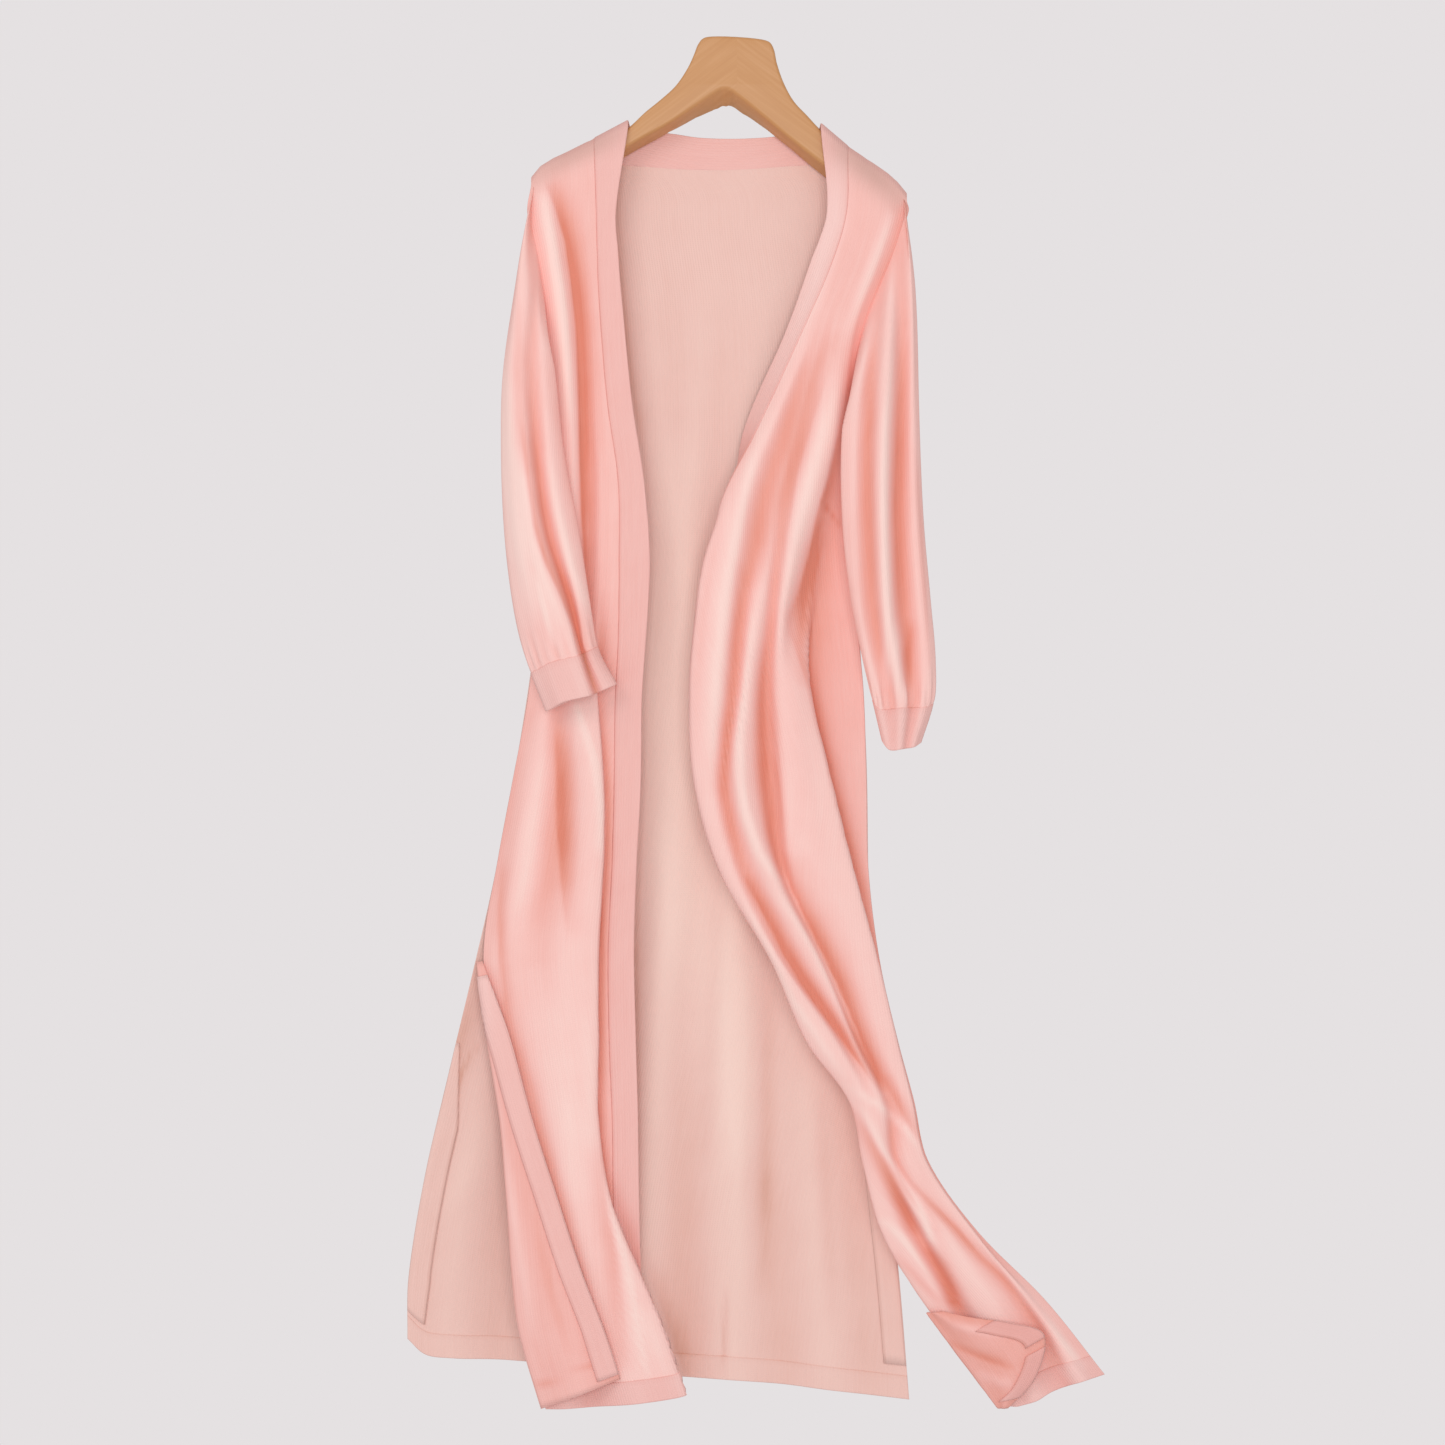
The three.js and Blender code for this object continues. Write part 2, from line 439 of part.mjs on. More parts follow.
// Strip from a front's last fold line to the band's free edge, SEAM clear of the front.
function bandGrid(table, bandEdge, rows) {
  const seam = foldLine(frontStations(table.down, table.folds[table.folds.length - 1]));
  const free = foldLine(frontStations(table.down, bandEdge));
  return fromCrest(seam.last, rows).map((place) => {
    const a = onSheet(...seam.at(place));
    const b = onSheet(...free.at(place));
    const start = (SEAM + DOUBLED / 2) / a.distanceTo(b);
    return [start, (1 + start) / 2, 1].map((t) => a.clone().lerp(b, t));
  });
}

// Back, its hem, and the facings that lie on its inside along the slits
const SLIT_STATION = CREST.drop.length + BACK.down.indexOf(1080); // where the side slits open
const backLines = BACK.folds.map((fold) => foldLine(backStations(fold)));

function addBack() {
  const body = (line) => fromCrest(line.beforeEnd(HEM_BAND + 2 * SEAM), ROWS.back);
  addPiece('back', wall(panelGrid(backLines, body, false), CLOTH, false), knit(KNIT_INSIDE));
  const hem = panelGrid(backLines, bandPlaces(HEM_BAND, 1), false);
  addPiece('hem_back', wall(hem, DOUBLED, false), knit(KNIT_DOUBLED));
  const inner = backLines.length - 1;
  addPiece('facing_back_left', facing(backLines[0], backLines[2], 1), knit(KNIT_DOUBLED));
  addPiece('facing_back_right', facing(backLines[inner], backLines[inner - 1], -1), knit(KNIT_DOUBLED));
}

// Strip of doubled knit that lies on the back's inside, from a slit's edge inwards
function facing(edge, inwards, direction) {
  const steps = 2 * (edge.last - SLIT_STATION);
  const rows = evenly(0, 1, steps).map((share) => {
    const place = (line) => THREE.MathUtils.lerp(SLIT_STATION, line.beforeEnd(HEM_BAND + 4 * SEAM), share);
    const a = onSheet(...edge.at(place(edge)));
    const b = onSheet(...inwards.at(place(inwards)));
    const width = Math.min(FACING_WIDTH, SLIT_START + FACING_WIDTH * SLIT_WIDENING * share) / a.distanceTo(b);
    const points = [0, 0.5, 1].map((t) => a.clone().lerp(b, t * width));
    return direction > 0 ? points : points.reverse();
  });
  return wall(rows, FACING_WALL, false, ON_CLOTH);
}

function addNeckBand() {
  const rail = (edge) => foldLine(NECK_BAND.map((row) => row[edge]));
  const [free, seam] = [rail('free'), rail('seam')];
  const grid = evenly(0, free.last, 2 * free.last).map((place) => {
    const a = onSheet(...free.at(place));
    const b = onSheet(...seam.at(place));
    return [0, 0.5, 1].map((t) => a.clone().lerp(b, t));
  });
  addPiece('neck_band', wall(grid, DOUBLED, false), knit(KNIT_DOUBLED));
}

function addSleeve(side, table, sides, outwards) {
  const lines = table.folds.map((fold) => foldLine(sleeveStations(table.down, fold, sides, outwards)));
  const tube = (line) => evenly(0, line.beforeEnd(CUFF_HEIGHT + SEAM), ROWS.sleeve);
  addPiece(`sleeve_${side}`, wall(panelGrid(lines, tube, true), CLOTH, true), knit(KNIT_PINK));
  const cuff = panelGrid(lines, bandPlaces(CUFF_HEIGHT, 2), true);
  addPiece(`cuff_${side}`, wall(cuff, DOUBLED, true), knit(KNIT_DOUBLED));
}

// Turned-over cloth: each section leaves the front, rolls over the fold line and lies on the front.
function addFlap(name, table) {
  const ends = ['fold', 'edge'].map((end) => foldLine(table.map((row) => [...row[end], row.depth])));
  const lifts = foldLine(table.map((row) => [...row.fold, row.lift]));
  const grid = evenly(0, table.length - 1, ROWS[name]).map((place) => {
    const [fold, edge] = ends.map((line) => line.at(place));
    const lift = lifts.at(place)[2];
    const width = Math.hypot(edge[0] - fold[0], edge[1] - fold[1]);
    const radius = Math.min(ROLL_RADIUS, width / 3);
    const step = (distance, rise) => [
      fold[0] + (edge[0] - fold[0]) * distance / width,
      fold[1] + (edge[1] - fold[1]) * distance / width,
      fold[2] + rise,
    ];
    const slant = radius * (1 - Math.SQRT1_2);
    const points = [
      step(radius - Math.min(ROOT_GAP[name], radius / 2), 0),
      step(slant, slant),
      step(0, radius),
      step(slant, 2 * radius - slant),
      step(radius, 2 * radius),
      step(width / 2, 2 * radius + lift),
      step(width, 2 * radius + lift * FLAP_SAG),
    ];
    return section(points, STEPS_ACROSS, false);
  });
  addPiece(name, wall(grid, CLOTH, false), knit(KNIT_INSIDE));
  return grid;
}

// Strip along the free edge of turned-over cloth, made from its last points and moved out
function addEdging(name, grid, width) {
  const rows = grid.slice(...EDGING_ROWS[name]).map((points) => {
    const edge = points[points.length - 1];
    const inwards = points[points.length - 1 - 2 * STEPS_ACROSS];
    const reach = Math.min(width / edge.distanceTo(inwards), EDGING_SHARE);
    const middle = points[points.length - 1 - STEPS_ACROSS];
    const bow = middle.clone().sub(edge.clone().lerp(inwards, 0.5));
    return [1, 0.5, 0].map((t) => (
      edge.clone().lerp(inwards, t * reach).addScaledVector(bow, 4 * t * reach * (1 - t * reach))));
  });
  addPiece(name, wall(rows, FACING_WALL, false, ON_CLOTH), knit(KNIT_DOUBLED));
}

// Hanger: four outlines one behind the other, closed by flat faces at the front and the back
function addHanger() {
  const under = HANGER.under.map(([across, down]) => [across, down + HANGER.underside]);
  const frontOutline = [...HANGER.top, ...HANGER.under];
  const backOutline = [...HANGER.top, ...under];
  const inset = (outline) => outline.map(([across, down], i) => {
    const before = outline[(i + outline.length - 1) % outline.length];
    const after = outline[(i + 1) % outline.length];
    const along = new THREE.Vector2(after[0] - before[0], after[1] - before[1]).normalize();
    return [across - along.y * HANGER.bevel, down + along.x * HANGER.bevel];
  });
  const layers = [
    { outline: inset(frontOutline), depth: HANGER.halfThickness },
    { outline: frontOutline, depth: HANGER.halfThickness - HANGER.bevel },
    { outline: backOutline, depth: HANGER.bevel - HANGER.halfThickness },
    { outline: inset(backOutline), depth: -HANGER.halfThickness },
  ];
  const count = frontOutline.length;
  const corners = layers.flatMap(({ outline, depth }) => outline.map(([a, d]) => onSheet(a, d, depth)));
  const faces = [];
  for (let layer = 0; layer < layers.length - 1; layer += 1) {
    for (let i = 0; i < count; i += 1) {
      const j = (i + 1) % count;
      const [a, b] = [layer * count + i, layer * count + j];
      faces.push([a, b, b + count], [a, b + count, a + count]);
    }
  }
  for (const layer of [0, layers.length - 1]) {
    const flat = layers[layer].outline.map(([a, d]) => new THREE.Vector2(a, d));
    for (const [a, b, c] of THREE.ShapeUtils.triangulateShape(flat, [])) {
      const first = layer * count;
      faces.push(layer === 0 ? [first + a, first + c, first + b] : [first + a, first + b, first + c]);
    }
  }
  addPiece('hanger', withHookHole(solid(corners, faces)), wood());
}

// The blind hole in the neck's flat top that takes the hook
function withHookHole(geometry) {
  const { radius, depth, sides } = HOOK_HOLE;
  const drill = new THREE.CylinderGeometry(radius, radius, 2 * depth, sides).rotateX(Math.PI / 2);
  const cut = toManifold(geometry).subtract(toManifold(drill)).getMesh();
  const result = new THREE.BufferGeometry();
  result.setAttribute('position', new THREE.BufferAttribute(cut.vertProperties, 3));
  result.setIndex(new THREE.BufferAttribute(cut.triVerts, 1));
  return result;
}

function toManifold(geometry) {
  const bare = geometry.clone();
  bare.deleteAttribute('normal');
  bare.deleteAttribute('uv');
  const merged = mergeVertices(bare);
  const vertProperties = new Float32Array(merged.attributes.position.array);
  const triVerts = new Uint32Array(merged.index.array);
  return new wasm.Manifold(new wasm.Mesh({ numProp: 3, vertProperties, triVerts }));
}

addHanger();
addBack();
addNeckBand();
addFront('left', FRONT_LEFT, BAND_LEFT_EDGE);
addFront('right', FRONT_RIGHT, BAND_RIGHT_EDGE);
const frontSide = (table) => foldLine(frontStations(table.down, table.folds[0]));
addSleeve('left', SLEEVE_LEFT, { front: frontSide(FRONT_LEFT), back: backLines[0] }, -1);
addSleeve('right', SLEEVE_RIGHT, { front: frontSide(FRONT_RIGHT), back: backLines[backLines.length - 1] }, 1);
const leftFlap = addFlap('flap_left', FLAP_LEFT);
const rightFlap = addFlap('flap_right', FLAP_RIGHT);
addEdging('facing_flap_left', leftFlap, FACING_WIDTH);
addEdging('band_flap_right', rightFlap, FACING_WIDTH);
addEdging('hem_flap_right', rightFlap, HEM_BAND);

export default garment;
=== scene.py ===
# %% [markdown]
# # A long pink cardigan on a wooden hanger
# The cloth is a fine knit, so thin that a second layer behind it shows as a deeper colour. A knit
# hangs in soft vertical folds. It could be draped by cloth simulation, but the drape to be matched
# here was laid by hand: one front swept aside, two corners turned over. So every piece of cloth is
# one smooth surface through a few fold lines, each a line that wanders down the garment. It is
# sampled finely, pushed in and out along its creases, and given a thin wall. The hanger is one
# shaped piece of wood.

# %% Load the frame
import bpy
import math
import mathutils
import numpy as np
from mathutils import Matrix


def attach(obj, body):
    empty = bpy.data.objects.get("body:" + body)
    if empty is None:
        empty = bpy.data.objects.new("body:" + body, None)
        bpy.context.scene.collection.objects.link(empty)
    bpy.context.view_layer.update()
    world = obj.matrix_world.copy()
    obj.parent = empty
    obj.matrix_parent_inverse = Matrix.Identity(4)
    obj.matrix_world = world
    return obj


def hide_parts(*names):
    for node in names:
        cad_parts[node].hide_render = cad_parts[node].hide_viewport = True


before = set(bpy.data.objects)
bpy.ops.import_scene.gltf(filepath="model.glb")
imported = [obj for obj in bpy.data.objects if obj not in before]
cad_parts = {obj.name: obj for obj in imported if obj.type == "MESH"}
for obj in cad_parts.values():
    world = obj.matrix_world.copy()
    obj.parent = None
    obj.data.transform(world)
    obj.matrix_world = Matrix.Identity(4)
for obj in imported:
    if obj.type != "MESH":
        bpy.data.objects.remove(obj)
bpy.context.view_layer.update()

# %% [markdown]
# The garment's sizes are in millimetres on a pattern sheet: across from the sheet's left side, down
# from its top, and depth towards the viewer. One helper turns sheet points into the scene's metres.
# The scene's zero is the hanger's mount, the middle of the neck's flat top. Real knit of this kind
# is about half a millimetre thick. The walls here are a little thicker, so that rims show.

# %% Sizes and the pattern sheet
MM = 0.001
MOUNT_ACROSS, MOUNT_DOWN = 737, 36
WALL = 0.9            # single knit
DOUBLED_WALL = 2.0    # bands, hems and cuffs
FACING_WALL = 1.2     # strips that lie on a panel
HEM_BAND = 24
CUFF_HEIGHT = 42
FACING_WIDTH = 23     # of the strips along the slits and on the turned-over corners
ROLL_RADIUS = 4       # of the roll where a corner is turned over
ON_CLOTH = 1.5        # from a panel's middle to the middle of a strip that lies on it
TUCKED_IN = 1.2       # how far a panel runs into the wall of the band sewn to it
CREST_DROP = (0, 3, 10)            # how cloth bends over the hanger's arm: downwards
CREST_DEPTH = (1.3, 10.5, 15.5)    # and away from the arm's middle
ARMHOLE_IN = 3        # the sleeve starts this far inside the panel's side, so the seam hardly gapes
ARMHOLE_LAP = 1.1     # and this far outside the panel, on which it lies there
ROW_STEP = 8          # mm between rows of points
FEWEST_ROWS = 4
SECTION_STEPS = 8     # points from one fold line to the next


def on_sheet(points):
    """Sheet points [across, down, depth] in mm, as scene points in metres."""
    p = np.asarray(points, float)
    return np.stack([p[..., 0] - MOUNT_ACROSS, -p[..., 2], MOUNT_DOWN - p[..., 1]], -1) * MM


# %% [markdown]
# A fold line is a smooth curve through its stations. A place on it is a station number with a
# fraction, so that the same number on neighbouring lines lies at about the same height, also
# where one line is much longer than the next.

# %% Fold lines and sections
PLACES_TRIED = 2000    # points on a line to look for a height among
LENGTH_STEPS = 200     # points on a line to measure its length by


def through_knots(knots, values, at):
    """Cubic through values at knots, with slopes taken from the neighbours on both sides."""
    last = len(knots) - 1
    i = np.clip(np.searchsorted(knots, at, side="left") - 1, 0, last - 1)
    numbers = np.arange(last + 1)
    before, after = np.maximum(numbers - 1, 0), np.minimum(numbers + 1, last)
    slope = (values[after] - values[before]) / (knots[after] - knots[before])[:, None]
    span = (knots[i + 1] - knots[i])[:, None]
    t = (at - knots[i])[:, None] / span
    rising = 3 * t ** 2 - 2 * t ** 3
    return ((1 - rising) * values[i] + (t ** 3 - 2 * t ** 2 + t) * span * slope[i]
            + rising * values[i + 1] + (t ** 3 - t ** 2) * span * slope[i + 1])


class FoldLine:
    """A smooth line through stations [across, down, depth]."""

    def __init__(self, stations):
        self.stations = np.asarray(stations, float)
        steps = np.linalg.norm(np.diff(self.stations, axis=0), axis=1)
        self.knots = np.concatenate([[0], np.cumsum(steps)])
        self.last = len(self.stations) - 1

    def at(self, places):
        """Points at an array of places, each a station number with a fraction."""
        places = np.asarray(places, float)
        i = np.clip(np.floor(places).astype(int), 0, self.last - 1)
        distance = self.knots[i] + (self.knots[i + 1] - self.knots[i]) * (places - i)
        return through_knots(self.knots, self.stations, distance)

    def before_end(self, distance):
        """The place that lies a distance before the line's end."""
        return self.last - distance / (self.knots[-1] - self.knots[-2])

    def place_at(self, down):
        """The place at a height on the sheet."""
        places = np.linspace(0, self.last, PLACES_TRIED)
        return float(np.interp(down, self.at(places)[:, 1], places))

    def length(self, start, end):
        """Length of the line between two places."""
        points = self.at(np.linspace(start, end, LENGTH_STEPS))
        return float(np.linalg.norm(np.diff(points, axis=0), axis=1).sum())


def smooth_across(points, steps, closed=False):
    """Sections through points (rows, folds, 3), as centripetal curves with steps to each gap."""
    if closed:
        padded = np.concatenate([points[:, -1:], points, points[:, :2]], axis=1)
    else:
        before = 2 * points[:, :1] - points[:, 1:2]
        after = 2 * points[:, -1:] - points[:, -2:-1]
        padded = np.concatenate([before, points, after], axis=1)
    a, b, c, d = padded[:, :-3], padded[:, 1:-2], padded[:, 2:-1], padded[:, 3:]
    gaps = [np.linalg.norm(q - p, axis=-1, keepdims=True) ** 0.5 + 1e-9
            for p, q in ((a, b), (b, c), (c, d))]
    start = ((b - a) / gaps[0] - (c - a) / (gaps[0] + gaps[1]) + (c - b) / gaps[1]) * gaps[1]
    end = ((c - b) / gaps[1] - (d - b) / (gaps[1] + gaps[2]) + (d - c) / gaps[2]) * gaps[1]
    t = (np.arange(steps) / steps)[None, None, :, None]
    b, c, start, end = (x[:, :, None] for x in (b, c, start, end))
    curve = (b + start * t + (3 * c - 3 * b - 2 * start - end) * t ** 2
             + (2 * b - 2 * c + start + end) * t ** 3)
    curve = curve.reshape(len(points), -1, 3)
    return curve if closed else np.concatenate([curve, points[:, -1:]], axis=1)


def panel(lines, start, end, closed=False):
    """Grid of sheet points over the stretch of the fold lines from start(line) to end(line)."""
    height = np.mean([line.length(start(line), end(line)) for line in lines])
    rows = max(int(height / ROW_STEP), FEWEST_ROWS)
    share = np.linspace(0, 1, rows + 1)
    points = [line.at(start(line) + (end(line) - start(line)) * share) for line in lines]
    return smooth_across(np.stack(points, axis=1), SECTION_STEPS, closed)


# %% [markdown]
# These are the fold lines of the two fronts, from the side seam to the band's seam. `top` and
# `hem` are heights on the sheet. `across` starts at the shoulder and ends at the hem, and `depth`
# starts at the first inner height. The front on the viewer's left hangs straight with one deep
# pleat, and the other is swept to the lower right in three long ridges.

# %% Fold lines of the fronts
FRONT_LEFT = dict(
  down=[210, 250, 300, 400, 480, 560, 640, 700, 780, 860, 950, 1040, 1120, 1200, 1270, 1330],
  folds=[
    dict(fold="side", top=175, hem=1408,
         across=[531, 527, 534, 541, 548, 546, 541, 534, 527, 512, 497, 483, 491, 504, 511, 516, 523, 546],
         depth=[10, 10, 8, 1.5, 1.3, 1.3, 1.3, 1.3, 1.3, 1.3, 4, 10, 14, 18, 20, 20, 20]),
    dict(fold="shoulder_ridge", top=164, hem=1407,
         across=[540, 545, 552, 560, 568, 571, 570, 558, 547, 534, 520, 503, 508, 520, 528, 536, 546, 566],
         depth=[18, 18, 17, 17, 15, 11, 9, 11, 14, 15, 12, 13, 18, 22, 26, 26, 26]),
    dict(fold="valley", top=156, hem=1405,
         across=[553, 559, 566, 574, 582, 584, 583, 570, 557, 558, 553, 530, 532, 540, 548, 560, 574, 594],
         depth=[13, 11, 9, 8, 8, 8, 8, 10, 11, 12, 15, 18, 21, 23, 24, 24, 24]),
    dict(fold="pleat_ridge", top=150, hem=1400,
         across=[566, 569, 577, 583, 589, 592, 591, 582, 576, 590, 588, 575, 574, 574, 584, 602, 622, 640],
         depth=[14, 13, 11, 10, 9, 9, 12, 18, 26, 26, 26, 26, 28, 32, 36, 38, 38]),
    dict(fold="pleat_edge", top=143, hem=1392,
         across=[580, 583, 587, 590, 595, 599, 599, 596, 598, 604, 604, 599, 599, 599, 612, 641, 667, 687],
         depth=[15, 15, 14, 13, 13, 13, 15, 18, 20, 22, 22, 22, 23, 26, 30, 32, 30]),
    dict(fold="pleat_tuck", top=140, hem=1384,
         across=[586, 588, 591, 594, 599, 605, 605, 600, 592, 590, 590, 587, 587, 588, 592, 597, 598, 600],
         depth=[15, 15, 15, 14, 14, 14, 13, 12, 11, 11, 11, 11, 11, 13, 14, 14, 14]),
    dict(fold="strip", top=138, hem=1381,
         across=[591, 592, 594, 596, 603, 612, 612, 609, 607, 606, 604, 602, 602, 604, 606, 609, 612, 620],
         depth=[15, 15, 15, 15, 15, 15, 14, 13, 13, 13, 13, 13, 13, 11, 9, 8, 8]),
    dict(fold="band_seam", top=136, hem=1378,
         across=[594, 596, 597, 599, 607, 618, 619, 618, 615, 614, 612, 608, 609, 612, 613, 615, 618, 626],
         depth=[15, 15, 15, 15, 15, 15, 14, 13, 13, 13, 13, 13, 13, 12, 11, 11, 11]),
  ],
)
BAND_LEFT_EDGE = dict(fold="free_edge", top=118, hem=1377,
      across=[628, 616, 618, 622, 632, 644, 650, 646, 642, 641, 637, 634, 636, 638, 639, 641, 645, 651],
      depth=[16, 17, 17, 17, 17, 17, 17, 16, 16, 16, 16, 16, 16, 15, 13, 12, 12])
FRONT_RIGHT = dict(
  down=[210, 260, 330, 430, 500, 560, 620, 690, 780, 870, 960, 1040, 1100, 1160, 1230, 1300],
  folds=[
    dict(fold="side", top=191, hem=1373,
         across=[907, 909, 893, 866, 850, 847, 850, 857, 864, 867, 869, 880, 898, 914, 928, 977, 1046, 1104],
         depth=[10, 10, 8, 1.5, 1.3, 1.3, 1.3, 1.3, 1.3, 1.3, 5, 12, 16, 18, 20, 22, 22]),
    dict(fold="side_tuck", top=180, hem=1376,
         across=[898, 899, 884, 858, 845, 836, 826, 813, 800, 810, 838, 866, 886, 905, 920, 968, 1036, 1092],
         depth=[13, 14, 13, 8, 5, 3.5, 4, 6, 6, 7, 10, 16, 22, 25, 27, 28, 28]),
    dict(fold="layer_edge", top=171, hem=1379,
         across=[888, 889, 876, 853, 840, 826, 818, 810, 811, 832, 854, 878, 897, 912, 926, 974, 1030, 1080],
         depth=[16, 18, 18, 16, 14, 9, 10, 18, 22, 24, 25, 27, 29, 31, 33, 33, 34]),
    dict(fold="layer_plane", top=164, hem=1384,
         across=[878, 880, 868, 846, 834, 820, 811, 801, 801, 814, 834, 858, 882, 904, 918, 966, 1020, 1066],
         depth=[17, 19.5, 21, 24, 24, 14, 14, 27, 29, 30, 30, 31, 31, 34, 33, 28, 27]),
    dict(fold="valley_3b", top=160, hem=1390,
         across=[872, 874, 862, 840, 826, 812, 803, 791, 790, 798, 812, 842, 871, 897, 909, 956, 1006, 1050],
         depth=[17, 19, 22, 27, 31, 22, 21, 31, 32, 32, 30, 30, 29, 35, 33, 33, 28]),
    dict(fold="ridge_3", top=157, hem=1398,
         across=[867, 869, 857, 833, 817, 800, 790, 781, 779, 784, 793, 830, 864, 891, 902, 945, 988, 1036],
         depth=[17, 19, 22, 27, 34, 34, 33, 31, 31, 31, 29, 28, 28, 33, 36, 37, 32]),
    dict(fold="valley_3", top=154, hem=1402,
         across=[863, 865, 852, 827, 803, 786, 777, 772, 767, 771, 783, 824, 858, 887, 896, 936, 972, 1024],
         depth=[16.5, 18, 20.5, 21, 27, 27, 24, 21, 20, 24, 29, 27, 29, 30, 35, 34, 30]),
    dict(fold="ridge_2", top=152, hem=1404,
         across=[860, 862, 848, 822, 795, 776, 768, 757, 747, 740, 770, 817, 853, 880, 889, 927, 962, 1016],
         depth=[16.5, 18, 20.5, 22, 29, 31, 36, 38, 41, 40, 37, 34, 37, 35, 36, 28, 30]),
    dict(fold="valley_2", top=150, hem=1404,
         across=[857, 858, 845, 817, 783, 762, 751, 742, 736, 725, 748, 788, 843, 872, 882, 917, 953, 1010],
         depth=[16, 17, 19.5, 19, 24, 26, 27, 29, 30, 31, 31, 30, 38, 37, 25, 24, 28]),
    dict(fold="ridge_1", top=148, hem=1404,
         across=[854, 855, 842, 813, 770, 742, 731, 725, 717, 710, 731, 778, 833, 863, 872, 900, 940, 1005],
         depth=[16, 16.5, 19, 24, 33, 36, 38, 40, 37, 37, 38, 39, 38, 36, 33, 32, 28]),
    dict(fold="leading_roll", top=146, hem=1402,
         across=[851, 851, 838, 808, 763, 727, 704, 695, 689, 693, 719, 771, 806, 849, 862, 881, 922.5, 1000],
         depth=[15.5, 16, 18, 22, 29, 30, 30, 30, 30, 30, 30, 30, 30, 30, 29, 26, 24]),
    dict(fold="band_seam", top=144, hem=1398,
         across=[848, 847, 833, 803, 757, 722, 711, 706, 703, 707, 733, 786, 822, 864, 876, 893, 942, 1010],
         depth=[15, 15, 16, 18, 25, 20, 18, 18, 18, 18, 18, 18, 18, 18, 18, 16, 16]),
  ],
)
BAND_RIGHT_EDGE = dict(fold="free_edge", top=121, hem=1384,
      across=[821, 827, 811, 786, 744, 736, 733, 731, 728, 732, 759, 812, 848, 886, 898, 917, 960, 1022],
      depth=[13, 4, 1, -3, 4, 3, 3, 4, 4, 4, 6, 8, 10, 11, 12, 12, 12])

# %% [markdown]
# The back hangs nearly flat. A row for each of its fold lines gives the share of the way from the
# left side to the right, its start over the hanger, its hem, and how far it waves at the hem.

# %% Fold lines of the back and the neck band
BACK = dict(
  down=[210, 300, 420, 520, 640, 760, 880, 980, 1080, 1180, 1280],
  leftSide=[529, 541, 548, 544, 534, 516, 493, 470, 446, 423, 407, 406],
  rightSide=[909, 878, 853, 847, 860, 867, 869, 872, 880, 889, 900, 910],
  middleDepth=[-15, -14, -14, -14, -13, -13, -12, -12, -11, -11, -11, -11],
  sideDepth=[-10, -8, -1.5, -1.3, -1.3, -1.3, -1.3, -4, -5, -5, -5, -5],
  folds=[
    dict(fold="left_side", share=0, top=[533, 177], crest=1, edge=1, hem=1341, wave=0),
    dict(fold="left_corner", share=0.035, top=[543, 166], crest=1, edge=0.7, hem=1357, wave=0),
    dict(fold="left_1", share=0.09, top=[558, 154], crest=1, edge=0.3, hem=1361, wave=3),
    dict(fold="left_2", share=0.18, top=[588, 141], crest=1, edge=0, hem=1363, wave=-3),
    dict(fold="left_3", share=0.28, top=[603, 152], crest=0, edge=0, hem=1366, wave=4),
    dict(fold="middle_1", share=0.4, top=[650, 162], crest=0, edge=0, hem=1372, wave=-4),
    dict(fold="middle_2", share=0.48, top=[695, 164.4], crest=0, edge=0, hem=1377, wave=5),
    dict(fold="middle_3", share=0.56, top=[737, 164.4], crest=0, edge=0, hem=1381, wave=-5),
    dict(fold="middle_4", share=0.65, top=[785, 161.3], crest=0, edge=0, hem=1383, wave=5),
    dict(fold="right_3", share=0.75, top=[838, 156], crest=0, edge=0, hem=1388, wave=-4),
    dict(fold="right_2", share=0.84, top=[866, 158], crest=1, edge=0, hem=1393, wave=4),
    dict(fold="right_1", share=0.92, top=[888, 173], crest=1, edge=0.3, hem=1398, wave=-2),
    dict(fold="right_side", share=1, top=[907, 193], crest=1, edge=1, hem=1402, wave=0),
  ],
)
NECK_BAND = [
  dict(free=[628, 118, 0], seam=[596, 137, 0]),
  dict(free=[629, 121, -10.8], seam=[597, 140, -10.8]),
  dict(free=[631, 126, -15.5], seam=[600, 148, -14.5]),
  dict(free=[648, 127, -17], seam=[618, 156, -16]),
  dict(free=[672, 129, -18], seam=[650, 160, -16]),
  dict(free=[700, 133, -18], seam=[692, 163, -16]),
  dict(free=[737, 134, -18], seam=[737, 163, -16]),
  dict(free=[773, 132, -18], seam=[783, 160, -16]),
  dict(free=[798, 128, -17], seam=[824, 156, -16]),
  dict(free=[817, 127, -15.5], seam=[844, 152, -14.5]),
  dict(free=[820, 124, -10.8], seam=[847, 147, -10.8]),
  dict(free=[821, 121, 0], seam=[848, 144, 0]),
]

# %% [markdown]
# A sleeve is a closed tube that hangs from the armhole. Each line starts on the side of the front
# or the back, at the height named in `armhole`, bends over the edge of the shoulder and falls to
# the cuff. Two corners of the fronts are turned over so that their inside shows: `fold` is on the
# fold line and `edge` on the free edge.

